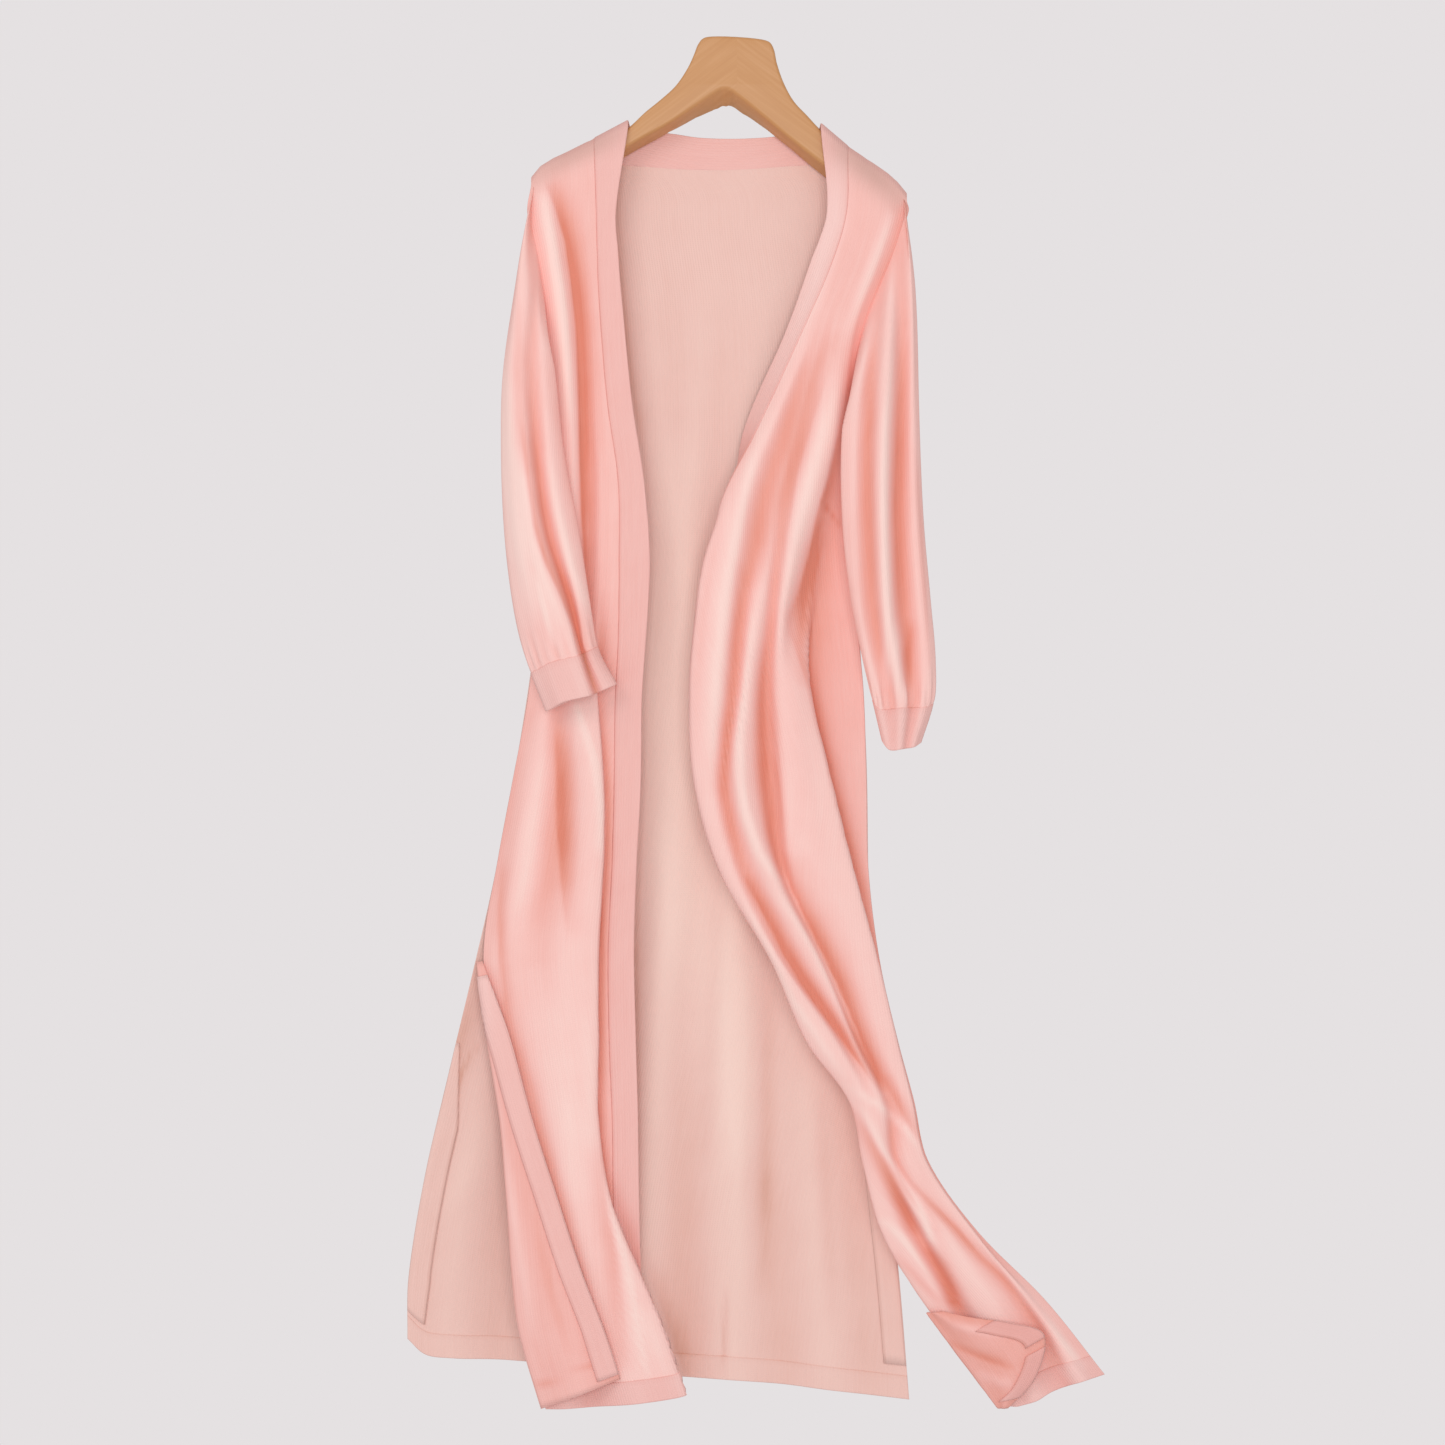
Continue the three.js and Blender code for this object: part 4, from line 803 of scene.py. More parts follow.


# %% [markdown]
# The creases of the left front are a ridge from the shoulder with a painted highlight, the hollow
# beside it in painted coral shade, the pleat with its sharp edge down to the hem, and a soft hollow
# below the sleeve.

# %% Creases of the left front
CREASES_LEFT = [
    dict(path=[(544, 190), (552, 235), (560, 290), (567, 350), (570, 420)], wide=(8, 7), high=1.2,
         layers_and_painted_shade=-0.4),
    dict(path=[(546, 182), (556, 206), (566, 240), (572, 280), (577, 325), (580, 385), (581, 450),
               (582, 530)], wide=(2, 17), high=-1.0, layers_and_painted_shade=0.75),
    dict(path=[(576, 350), (579, 400), (580, 460), (582, 520), (586, 570)], wide=(1.4, 3), layers_and_painted_shade=0.5),
    dict(path=[(581, 480), (585, 560), (592, 615), (601, 655), (614, 690)], wide=(2, 12), layers_and_painted_shade=0.4),
    dict(path=[(536, 690), (517, 770), (506, 840), (496, 910), (488, 960)], wide=(12, 14), layers_and_painted_shade=0.35),
    dict(path=[(504, 860), (500, 910), (501, 960), (508, 1020)], wide=(3, 7), high=-0.8, layers_and_painted_shade=0.45),
    dict(path=[(552, 745), (531, 830), (524, 900), (527, 980), (535, 1080)], wide=(12, 14), layers_and_painted_shade=-0.2),
    dict(path=[(556, 722), (558, 770), (559, 820), (563, 880), (569, 940)], wide=(3, 17), high=-1.2,
         layers_and_painted_shade=0.5),
    dict(path=[(574, 698), (587, 733), (597, 765), (602, 803), (601, 860)], wide=(5, 3), high=0.8,
         layers_and_painted_shade=-0.5),
    dict(path=[(599, 690), (604, 755), (606, 790), (605, 862), (600, 925), (600, 1010), (599, 1120),
               (604, 1180)], wide=(1.2, 7), layers_and_painted_shade=0.6),
    dict(path=[(540, 960), (548, 1050), (560, 1130), (575, 1200)], wide=(16, 22), layers_and_painted_shade=-0.25),
    dict(path=[(480, 948), (495, 994), (510, 1032), (528, 1090), (535, 1120), (561, 1200), (580, 1259),
               (604, 1322), (620, 1368)], wide=(3, 9), layers_and_painted_shade=0.5),
    dict(path=[(600, 1140), (607, 1210), (615, 1255), (620, 1310), (628, 1370)], wide=(13, 4),
         high=-0.8, layers_and_painted_shade=0.5),
    dict(path=[(602, 1170), (613, 1218), (624, 1252), (632, 1292), (639, 1335), (648, 1378)],
         wide=(3, 4), high=0.8, layers_and_painted_shade=-0.5),
    dict(path=[(606, 1175), (622, 1218), (638, 1258), (652, 1290)], wide=(4, 10), layers_and_painted_shade=0.4),
    dict(path=[(588, 1010), (591, 1080), (590, 1150)], wide=(7, 5), high=0.6, layers_and_painted_shade=-0.15),
    dict(path=[(640, 1300), (655, 1335), (670, 1370)], wide=(8, 6), high=0.7, layers_and_painted_shade=-0.15),
]

# %% [markdown]
# The creases of the right front follow its three ridges, the layer that is pinched under the arm
# and opens again below, the deep fold behind the leading edge, and the pocket and curl by the hem.
# Their strokes paint highlights on the ridges and shade in the folds.

# %% Creases of the right front
CREASES_RIGHT = [
    dict(path=[(893, 210), (886, 232), (874, 264), (860, 300), (846, 340)], wide=(6, 5), high=1.0,
         layers_and_painted_shade=-0.35),
    dict(path=[(838, 150), (834, 220), (812, 290), (778, 370), (745, 440)], wide=(14, 12), layers_and_painted_shade=-0.6),
    dict(path=[(906, 205), (900, 235), (886, 275), (872, 320), (858, 370)], wide=(8, 7), high=-0.8,
         layers_and_painted_shade=0.35),
    dict(path=[(838, 330), (812, 375), (800, 410), (785, 470), (768, 530), (756, 590)], wide=(14, 9),
         high=-1.0, layers_and_painted_shade=0.4),
    dict(path=[(768, 400), (752, 460), (740, 520), (726, 590), (718, 660), (713, 730), (718, 780)],
         wide=(7, 6), high=0.9, layers_and_painted_shade=-0.35),
    dict(path=[(727, 500), (712, 560), (703, 620), (697, 690), (697, 760)], wide=(6, 5), layers_and_painted_shade=0.2),
    dict(path=[(763, 545), (752, 600), (745, 670), (738, 740), (743, 805), (757, 850), (783, 882),
               (808, 925)], wide=(5, 5), high=0.7, layers_and_painted_shade=-0.4),
    dict(path=[(741, 560), (734, 630), (728, 710), (724, 790), (738, 862), (760, 912)], wide=(6, 7),
         high=-0.8, layers_and_painted_shade=0.35),
    dict(path=[(764, 640), (762, 700), (765, 770), (772, 835), (784, 880)], wide=(7, 5), high=-0.8,
         layers_and_painted_shade=0.4),
    dict(path=[(776, 700), (778, 770), (783, 835), (788, 880)], wide=(1.5, 4), layers_and_painted_shade=0.4),
    dict(path=[(832, 360), (812, 420), (796, 475), (786, 540), (779, 600)], wide=(7, 2), layers_and_painted_shade=0.3),
    dict(path=[(838, 380), (822, 440), (806, 500), (794, 560), (785, 612)], wide=(8, 8), high=0.9,
         layers_and_painted_shade=-0.3),
    dict(path=[(853, 350), (846, 395), (839, 435), (829, 478), (818, 512), (810, 555), (799, 592),
               (786, 622)], wide=(2, 7), layers_and_painted_shade=0.75),
    dict(path=[(820, 515), (812, 560), (804, 610), (802, 650), (806, 690)], wide=(8, 5), layers_and_painted_shade=0.6),
    dict(path=[(824, 530), (814, 575), (809, 620), (808, 680)], wide=(1.5, 3), layers_and_painted_shade=0.5),
    dict(path=[(827, 484), (821, 501), (832, 514), (845, 529)], wide=(2, 2), high=0.6, layers_and_painted_shade=0.45),
    dict(path=[(782, 640), (790, 690), (797, 750), (808, 810), (822, 880)], wide=(9, 9), high=0.9,
         layers_and_painted_shade=0.1),
    dict(path=[(786, 622), (798, 655), (809, 690), (819, 732), (830, 775), (843, 828), (857, 875),
               (870, 925), (884, 985)], wide=(1.5, 8), layers_and_painted_shade=0.5),
    dict(path=[(785, 850), (792, 885), (808, 920), (825, 956), (842, 992), (857, 1026), (871, 1060),
               (881, 1092)], wide=(1.5, 13), high=-0.8, layers_and_painted_shade=0.65),
    dict(path=[(742, 872), (761, 906), (782, 948), (803, 984), (824, 1013), (843, 1039), (862, 1064),
               (880, 1091)], wide=(2, 13), high=-1.2, layers_and_painted_shade=0.8),
    dict(path=[(745, 900), (765, 945), (790, 995), (820, 1040), (845, 1078)], wide=(5, 5), high=0.8,
         layers_and_painted_shade=-0.3),
    dict(path=[(770, 885), (800, 925), (825, 970), (848, 1020)], wide=(4, 5), layers_and_painted_shade=-0.25),
    dict(path=[(848, 1085), (880, 1104), (905, 1127), (923, 1149)], wide=(4, 4), high=0.7, layers_and_painted_shade=-0.3),
    dict(path=[(884, 1075), (905, 1115), (925, 1150)], wide=(3, 9), layers_and_painted_shade=0.45),
    dict(path=[(846, 1100), (870, 1140), (890, 1175), (906, 1205), (917, 1232)], wide=(10, 5),
         high=-1.2, layers_and_painted_shade=0.7),
    dict(path=[(858, 1100), (880, 1144), (899, 1172), (916, 1197), (926, 1221), (929, 1242)],
         wide=(3, 5), high=1.0, layers_and_painted_shade=-0.5),
    dict(path=[(886, 1145), (910, 1180), (932, 1203), (955, 1226), (980, 1255), (1004, 1277),
               (1022, 1300)], wide=(5, 3), high=-0.8, layers_and_painted_shade=0.5),
    dict(path=[(938, 1225), (955, 1252), (978, 1282), (1000, 1305)], wide=(11, 9), high=0.8, layers_and_painted_shade=-0.1),
    dict(path=[(926, 1242), (940, 1262), (951, 1288), (957, 1312)], wide=(6, 8), high=-1.4, layers_and_painted_shade=0.75),
    dict(path=[(876, 1216), (890, 1224), (906, 1241), (926, 1266), (944, 1297)], wide=(4, 5), high=0.9,
         layers_and_painted_shade=-0.35),
    dict(path=[(890, 1248), (910, 1268), (932, 1292), (952, 1312)], wide=(5, 5), layers_and_painted_shade=0.4),
    dict(path=[(1040, 1310), (1060, 1338), (1085, 1368)], wide=(4, 4), high=0.7, layers_and_painted_shade=-0.35),
    dict(path=[(1020, 1296), (1045, 1330), (1064, 1368)], wide=(3, 6), layers_and_painted_shade=0.45),
]

# %% [markdown]
# The back hangs nearly smooth, with a few long soft waves below the hips, painted shade in a line
# where the fronts lie against it and painted light down its middle. The sleeves carry one sharp fold
# each and softer ones beside it, with painted shade in the folds and painted highlights on the ridges.
# Each table ends with creases of the side that the picture doesn't show.

# %% Creases of the back and the sleeves
CREASES_BACK = [
    dict(path=[(480, 940), (466, 1000), (455, 1045), (446, 1080), (436, 1121), (424, 1175), (412, 1235),
               (404, 1300)], wide=(10, 14), layers_and_painted_shade=0.45),
    dict(path=[(488, 1036), (470, 1056), (460, 1075), (452, 1097), (438, 1136), (426, 1182),
               (414, 1262)], wide=(2.5, 2.5), high=0.6, layers_and_painted_shade=0.45),
    dict(path=[(670, 420), (668, 560), (668, 700), (680, 850), (720, 1000), (750, 1180)], wide=(45, 45),
         layers_and_painted_shade=-0.65),
    dict(path=[(640, 175), (660, 420), (690, 640)], wide=(14, 14), high=1.2),
    dict(path=[(720, 820), (712, 1000), (704, 1180)], wide=(9, 12), high=-1.2, layers_and_painted_shade=0.15),
    dict(path=[(768, 980), (766, 1120), (764, 1300)], wide=(8, 10), high=-1.4, layers_and_painted_shade=0.2),
    dict(path=[(742, 960), (738, 1120), (742, 1320)], wide=(10, 10), high=1.0, layers_and_painted_shade=-0.15),
    dict(path=[(820, 1080), (826, 1200), (834, 1340)], wide=(8, 8), high=-1.0, layers_and_painted_shade=0.12),
    dict(path=[(726, 1290), (724, 1340), (722, 1380)], wide=(3, 4), high=-1.8, layers_and_painted_shade=0.3),
    dict(path=[(622, 130), (616, 190), (617, 240), (622, 306), (631, 383), (643, 459), (651, 540),
               (649, 611)], wide=(2, 7), layers_and_painted_shade=0.4),
    dict(path=[(649, 560), (645, 662), (642, 750), (640, 832), (636, 900), (635, 958), (637, 1073),
               (640, 1200), (640, 1290)], wide=(2, 5), layers_and_painted_shade=0.35),
    dict(path=[(640, 1250), (655, 1290), (672, 1340), (688, 1385)], wide=(3, 12), layers_and_painted_shade=0.35),
    dict(path=[(430, 1220), (470, 1170), (500, 1110)], wide=(20, 20), high=1.0, layers_and_painted_shade=-0.1),
]
CREASES_SLEEVE_LEFT = [
    dict(path=[(508, 300), (505, 380), (508, 470), (518, 550), (535, 630)], wide=(10, 12), layers_and_painted_shade=-0.5),
    dict(path=[(519, 300), (518, 370), (523, 440), (531, 480)], wide=(7, 9), high=-0.8, layers_and_painted_shade=0.4),
    dict(path=[(523, 430), (530, 480), (537, 530), (547, 562), (563, 597), (574, 625), (581, 655),
               (589, 682), (598, 700)], wide=(2, 10), high=-1.2, layers_and_painted_shade=0.8),
    dict(path=[(520, 450), (533, 540), (550, 590), (565, 628)], wide=(6, 3), high=0.8, layers_and_painted_shade=-0.3),
    dict(path=[(545, 450), (557, 510), (573, 567), (588, 605), (601, 642)], wide=(6, 6), high=0.9,
         layers_and_painted_shade=-0.3),
    dict(path=[(536, 575), (546, 610), (556, 650)], wide=(4, 4), high=0.8, layers_and_painted_shade=-0.3),
    dict(path=[(548, 350), (560, 420), (572, 490), (583, 550)], wide=(8, 4), layers_and_painted_shade=0.35),
    dict(path=[(590, 600), (600, 640), (612, 680)], wide=(8, 6), layers_and_painted_shade=0.3),
    dict(side=-1, path=[(524, 320), (527, 420), (540, 540), (560, 650)], wide=(6, 9), high=-1.4, layers_and_painted_shade=0.4),
    dict(side=-1, path=[(538, 380), (548, 470), (563, 580)], wide=(5, 5), high=1.0, layers_and_painted_shade=-0.25),
]
CREASES_SLEEVE_RIGHT = [
    dict(path=[(872, 330), (869, 420), (868, 500), (872, 590), (878, 660)], wide=(11, 8), high=-1.0,
         layers_and_painted_shade=0.22),
    dict(path=[(890, 350), (884, 430), (883, 500), (885, 580), (886, 650), (885, 690)], wide=(4, 6),
         high=1.0, layers_and_painted_shade=-0.4),
    dict(path=[(906, 340), (899, 430), (896, 500), (899, 580), (903, 640)], wide=(6, 12), high=-1.0,
         layers_and_painted_shade=0.3),
    dict(path=[(914, 440), (918, 500), (922, 560), (926, 620), (928, 670)], wide=(4, 2.5), layers_and_painted_shade=0.4),
    dict(path=[(846, 410), (848, 500), (854, 590), (864, 650)], wide=(4, 6), layers_and_painted_shade=0.15),
    dict(path=[(912, 620), (906, 655), (905, 690)], wide=(6, 6), high=-1.0, layers_and_painted_shade=0.4),
    dict(path=[(895, 620), (897, 670), (899, 700)], wide=(5, 5), high=0.8, layers_and_painted_shade=-0.25),
    dict(side=-1, path=[(898, 320), (890, 430), (893, 560), (905, 690)], wide=(6, 9), high=-1.4, layers_and_painted_shade=0.4),
    dict(side=-1, path=[(880, 390), (874, 480), (878, 600)], wide=(5, 5), high=1.0, layers_and_painted_shade=-0.25),
]

# %% [markdown]
# The back is one panel from the neck to the hem, open at both side slits. Its hem is a doubled
# band that the panel runs into, and a facing lies on its inside along each slit. Front and back
# are sewn together along the shoulders, so the tops of all panels are drawn to that one line.

# %% Back
BACK_SPACING = 3.0            # mm between points across the back
SLIT_TOP = 1040               # height on the sheet where the side slits begin
FACING_ABOVE_HEM = 4
FACING_START, FACING_WIDENS = 4, 70    # a facing starts narrow and widens to its full width
STRIP_STEPS = 6
SEAM_REACH = 14               # mm below the shoulder seam that are drawn to it
SEWN_WITHIN, FREE_FROM = 2, 8    # mm of depth from the seam: all of the cloth is drawn, or none
# the shoulder seam: where the fronts' fold lines start, from the viewer's left to the right
SHOULDER = np.array([[fold["across"][0], fold["top"]] for fold in
                     FRONT_LEFT["folds"] + [BAND_LEFT_EDGE, BAND_RIGHT_EDGE] + FRONT_RIGHT["folds"][::-1]])


def from_top(line):
    """Every panel starts at its lines' first station."""
    return 0


def drawn_to_shoulder(grid):
    """The grid with its top drawn to the shoulder seam, where front and back are sewn together."""
    share = np.clip(1 - along_grid(grid, 0) / SEAM_REACH, 0, 1)
    top = grid[0]
    sewn = np.clip((FREE_FROM - np.abs(top[:, 2])) / (FREE_FROM - SEWN_WITHIN), 0, 1)
    rise = np.interp(top[:, 0], *SHOULDER.T) - top[:, 1]
    way = np.stack([np.zeros(len(top)), rise, -top[:, 2]], axis=-1) * sewn[:, None]
    return grid + share[..., None] * way


def add_panel(node, hem_node, lines, creases, materials, spacing, facing=1):
    """A panel and its doubled hem. materials are the panel's and the hem's."""
    grid = panel(lines, from_top, lambda line: line.before_end(HEM_BAND - TUCKED_IN))
    grid = drawn_to_shoulder(creased(with_rims(even_columns(grid, spacing), 1, 0), creases, facing))
    sew(node, grid, WALL, materials[0], creases, facing)
    hem = panel(lines, lambda line: line.before_end(HEM_BAND), lambda line: line.last)
    hem = with_rims(even_columns(hem, spacing), 1, 0)
    sew(hem_node, hem, DOUBLED_WALL, materials[1], creases, facing, seams=["top"])
    return grid


def strip_along(grid, rows, widths, from_last=False):
    """Strip that lies on one edge of a grid, as wide on each of its rows as widths says."""
    strip = []
    for r, width in zip(rows, widths):
        row = grid[r][::-1] if from_last else grid[r]
        at = np.concatenate([[0], np.cumsum(np.linalg.norm(np.diff(row, axis=0), axis=1))])
        places = np.linspace(0, min(width, at[-1]), STRIP_STEPS + 1)
        strip.append(np.stack([np.interp(places, at, row[:, k]) for k in range(3)], axis=-1))
    strip = np.stack(strip)
    if from_last:
        strip = strip[:, ::-1]
    return strip + normals(strip) * ON_CLOTH


# the back, its hem and its facings take the knit painted darker as shade
back_grid = add_panel("back", "hem_back", BACK_LINES, CREASES_BACK, (INSIDE_KNIT_IN_PAINTED_SHADE, INSIDE_KNIT_IN_PAINTED_SHADE),
                      BACK_SPACING)
for node, from_last, inner_edge in (("facing_back_left", False, "right"),
                                    ("facing_back_right", True, "left")):
    heights = back_grid[:, -1 if from_last else 0, 1]
    rows = np.flatnonzero((heights > SLIT_TOP) & (heights < heights[-1] - FACING_ABOVE_HEM))
    widths = np.minimum(FACING_WIDTH, FACING_START + FACING_WIDENS * np.linspace(0, 1, len(rows)))
    strip = strip_along(back_grid, rows, widths, from_last)
    sew(node, strip, FACING_WALL, INSIDE_KNIT_IN_PAINTED_SHADE, seams=[inner_edge])

# %% [markdown]
# A band is a straight strip knitted double and sewn on, so it lies between two rails: its seam and
# its free edge. The one behind the neck runs from one shoulder round the hanger to the other.

# %% Neck band
NECK_ROWS = 70
BAND_STEPS = 8
NECK_LAP = 1.1            # the band runs a little past its seam, over the top of the back
NECK_LAP_AT_ENDS = 0.3    # and further at the shoulders
LAP_CURVE = 6             # the higher, the closer to the shoulders that is


def between(rail, other, ends=1.0):
    """Grid of straight lines from one rail's points towards another's. ends are shares, by row."""
    shares = np.linspace(0, 1, BAND_STEPS + 1)[None, :, None] * np.reshape(ends, (-1, 1, 1))
    return rail[:, None] * (1 - shares) + other[:, None] * shares


free_rail, seam_rail = (FoldLine([row[edge] for row in NECK_BAND]) for edge in ("free", "seam"))
places = np.linspace(0, free_rail.last, NECK_ROWS)
neck_ends = NECK_LAP + NECK_LAP_AT_ENDS * np.abs(np.linspace(-1, 1, NECK_ROWS)) ** LAP_CURVE
neck_grid = with_rims(between(free_rail.at(places), seam_rail.at(places), neck_ends), 1, 0)
sew("neck_band", neck_grid, DOUBLED_WALL, DOUBLE_KNIT, seams=["right"])

# %% [markdown]
# Each front is a panel with its doubled hem, and the doubled band along its free edge. On the
# viewer's right the band faces the viewer down to the chest and then rolls under.

# %% Fronts and bands
FRONT_SPACING = 2.2    # mm between points across a front
BAND_ROWS = 190


def add_band(node, seam, free, creases, facing):
    """The doubled band between a front's last fold line and its free edge."""
    places = np.linspace(0, seam.last, BAND_ROWS)
    grid = with_rims(between(seam.at(places), free.at(places)), 1, 0)
    grid = drawn_to_shoulder(creased(grid, creases, facing))
    sew(node, grid, DOUBLED_WALL, DOUBLE_KNIT, creases, facing, seams=["left"])


for side, lines, edge, creases, facing in (("left", LEFT_LINES, LEFT_EDGE, CREASES_LEFT, 1),
                                           ("right", RIGHT_LINES, RIGHT_EDGE, CREASES_RIGHT, -1)):
    add_panel(f"front_{side}", f"hem_front_{side}", lines, creases, (FINE_KNIT, DOUBLE_KNIT),
              FRONT_SPACING, facing)
    add_band(f"band_{side}", lines[-1], edge, creases, facing)

# %% [markdown]
# A sleeve is a tube gathered into its doubled cuff. The gathers are short waves round the tube,
# of uneven height, that fade out some 30 mm above the cuff. They could be creases too, but there
# are many and they are all alike, so one wave round the tube makes them.

# %% Sleeves and cuffs
SLEEVE_SPACING = 2.2                   # mm between points round a sleeve
GATHER_REACH = 26
GATHERS_ROUND = 17
GATHER_HEIGHT = 1.3
GATHER_WANDER = 1.5                    # how far their places shift round the tube
GATHER_UNEVEN, GATHER_GROUPS = 0.3, 5  # their heights differ by this share, in so many groups
HELD_WITHIN, HELD_SHARE = 6, 0.3       # mm above the cuff where its seam holds them down
CUFF_TONE = 0.05                       # how much deeper a cuff's colour is


def gathered(grid, facing):
    """The tube with gathers at its lower end."""
    outward = facing * normals(grid, closed=True)
    above = along_grid(grid, 0)[-1] - along_grid(grid, 0)
    turn = np.linspace(0, 2 * np.pi, grid.shape[1], endpoint=False)[None]
    wave = np.sin(GATHERS_ROUND * turn + GATHER_WANDER * np.sin(2 * turn))
    wave = wave * (1 - GATHER_UNEVEN + GATHER_UNEVEN * np.sin(GATHER_GROUPS * turn))
    fading = np.exp(-(above / GATHER_REACH) ** 2) * np.clip(above / HELD_WITHIN, HELD_SHARE, 1)
    return grid + outward * (GATHER_HEIGHT * wave * fading)[..., None]


def tube_of(lines, start, end):
    """Grid round a sleeve or cuff."""
    tube = panel(lines, start, end, closed=True)
    return with_rims(even_columns(tube, SLEEVE_SPACING, closed=True), 0)


for side, creases, facing in (("left", CREASES_SLEEVE_LEFT, 1), ("right", CREASES_SLEEVE_RIGHT, -1)):
    lines = SLEEVE_LINES[side]
    tube = tube_of(lines, from_top, lambda line: line.before_end(CUFF_HEIGHT - TUCKED_IN))
    tube = gathered(creased(tube, creases, facing, closed=True), facing)
    sew(f"sleeve_{side}", tube, WALL, FINE_KNIT, creases, facing, closed=True, seams=["top"])
    cuff = tube_of(lines, lambda line: line.before_end(CUFF_HEIGHT), lambda line: line.last)
    sew(f"cuff_{side}", cuff, DOUBLED_WALL, DOUBLE_KNIT, creases, facing, closed=True, seams=["top"],
        layers_and_painted_shade=CUFF_TONE)

# %% [markdown]
# Where a corner of a front is turned over, each section leaves the front, rolls over the fold
# line and lies on the front. A strip of doubled knit edges it. Two layers lie there, so both are
# deeper in colour.

# %% Turned-over corners
FLAP_ROWS, FLAP_STEPS = 60, 6
ROLL_SHARE = 1 / 3                  # a narrow flap's roll, as a share of its width
EDGE_LIFT = 0.8                     # the free edge stands this share of the lift above the front
# their strokes paint shade in the hollows and highlights on the ridges of the corners
CREASES_FLAPS = [
    dict(path=[(534, 1385), (559, 1374), (606, 1357)], wide=(2, 2), layers_and_painted_shade=0.45),
    dict(path=[(505, 1150), (520, 1250), (535, 1340)], wide=(5, 8), high=0.8, layers_and_painted_shade=-0.2),
    dict(path=[(535, 1210), (552, 1290), (570, 1350)], wide=(6, 6), high=-0.8, layers_and_painted_shade=0.15),
    dict(path=[(944, 1338), (980, 1353), (1014, 1365)], wide=(3, 5), high=-0.8, layers_and_painted_shade=0.3),
    dict(path=[(950, 1320), (985, 1328), (1010, 1332)], wide=(4, 6), high=0.8, layers_and_painted_shade=-0.25),
    dict(path=[(975, 1368), (1000, 1378), (1012, 1380)], wide=(6, 6), high=0.8, layers_and_painted_shade=-0.2),
]


def flap_grid(table, root_gap, start):
    """Grid of a turned-over corner from a place on its fold line to the line's end."""
    fold_line = FoldLine([row["fold"] + [row["depth"]] for row in table])
    edge_line = FoldLine([row["edge"] + [row["depth"]] for row in table])
    lift_line = FoldLine([row["fold"] + [row["lift"]] for row in table])
    places = np.linspace(start, fold_line.last, FLAP_ROWS + 1)
    sections = []
    for fold, edge, lift in zip(fold_line.at(places), edge_line.at(places), lift_line.at(places)[:, 2]):
        width = math.hypot(edge[0] - fold[0], edge[1] - fold[1])
        radius = min(ROLL_RADIUS, width * ROLL_SHARE)
        slant = radius * (1 - math.sqrt(0.5))
        profile = [(radius - min(root_gap, radius / 2), 0), (slant, slant), (0, radius),
                   (slant, 2 * radius - slant), (radius, 2 * radius),
                   (width / 2, 2 * radius + lift), (width, 2 * radius + lift * EDGE_LIFT)]
        sections.append([[fold[0] + (edge[0] - fold[0]) * distance / width,
                          fold[1] + (edge[1] - fold[1]) * distance / width,
                          fold[2] + rise] for distance, rise in profile])
    return smooth_across(np.array(sections), FLAP_STEPS)


def add_flap(side, table, root_gap, start, layers_and_painted_shade):
    grid = creased(even_columns(flap_grid(table, root_gap, start), FRONT_SPACING), CREASES_FLAPS)
    sew(f"flap_{side}", grid, WALL, FINE_KNIT, CREASES_FLAPS, layers_and_painted_shade=layers_and_painted_shade)
    return grid


def add_edging(node, grid, first, last, layers_and_painted_shade):
    """Strip along the flap's free edge, from one share of its rows to another."""
    rows = np.arange(int(first * len(grid)), int(last * len(grid)))
    strip = strip_along(grid, rows, np.full(len(rows), FACING_WIDTH), from_last=True)
    sew(node, strip, FACING_WALL, DOUBLE_KNIT, seams=["left"], layers_and_painted_shade=layers_and_painted_shade)


left_flap = add_flap("left", FLAP_LEFT, root_gap=1.5, start=0, layers_and_painted_shade=0.2)
right_flap = add_flap("right", FLAP_RIGHT, root_gap=0.8, start=0.4, layers_and_painted_shade=0.35)
add_edging("facing_flap_left", left_flap, first=0.04, last=0.99, layers_and_painted_shade=0.0)
add_edging("band_flap_right", right_flap, first=0.27, last=0.6, layers_and_painted_shade=0.2)
add_edging("hem_flap_right", right_flap, first=0.63, last=0.92, layers_and_painted_shade=0.2)

# %% [markdown]
# The hanger is sawn from beech board, its edges are rounded over and it is varnished. It could be
# a cube, extruded and scaled arm by arm, but its outline is all curves. So the outline is drawn as
# a curve through a few points and given the board's thickness and a round bevel. Then its underside
# is planed so that the back of it lies lower than the front. That is done on the mesh's points.

# %% Hanger
HANGER_THICKNESS = 24
HANGER_BEVEL, BEVEL_STEPS = 3, 4
OUTLINE_STEPS = 6
PLANED_REACH = 12        # mm above the lower outline up to which the wood is planed
MERGE_WITHIN = 0.01
HANGER_TOP = [(551, 190), (557, 180), (569, 170), (594, 152), (629, 126), (645, 111), (661, 98),
              (676, 84), (688, 66), (694, 53), (698, 43), (703, 37), (712, 35), (762, 38), (770, 41),
              (774, 48), (777, 62), (784, 82), (794, 100),
              (807, 114), (820, 128), (845, 152), (863, 169), (875, 177), (881, 187)]
HANGER_UNDER = [(876, 196), (862, 189), (826, 165), (791, 138), (767, 118), (743, 98), (726, 87),
                (718, 89), (696, 104), (669, 122), (619, 150), (584, 177), (569, 190), (558, 197)]
# how far the back of the underside lies below its front, at places across
UNDERSIDE_FALL = [(560, 6), (619, 8), (669, 7), (696, 11), (712, 17), (724, 18), (735, 15), (751, 12),
                  (767, 9), (791, 8), (826, 10), (880, 6)]


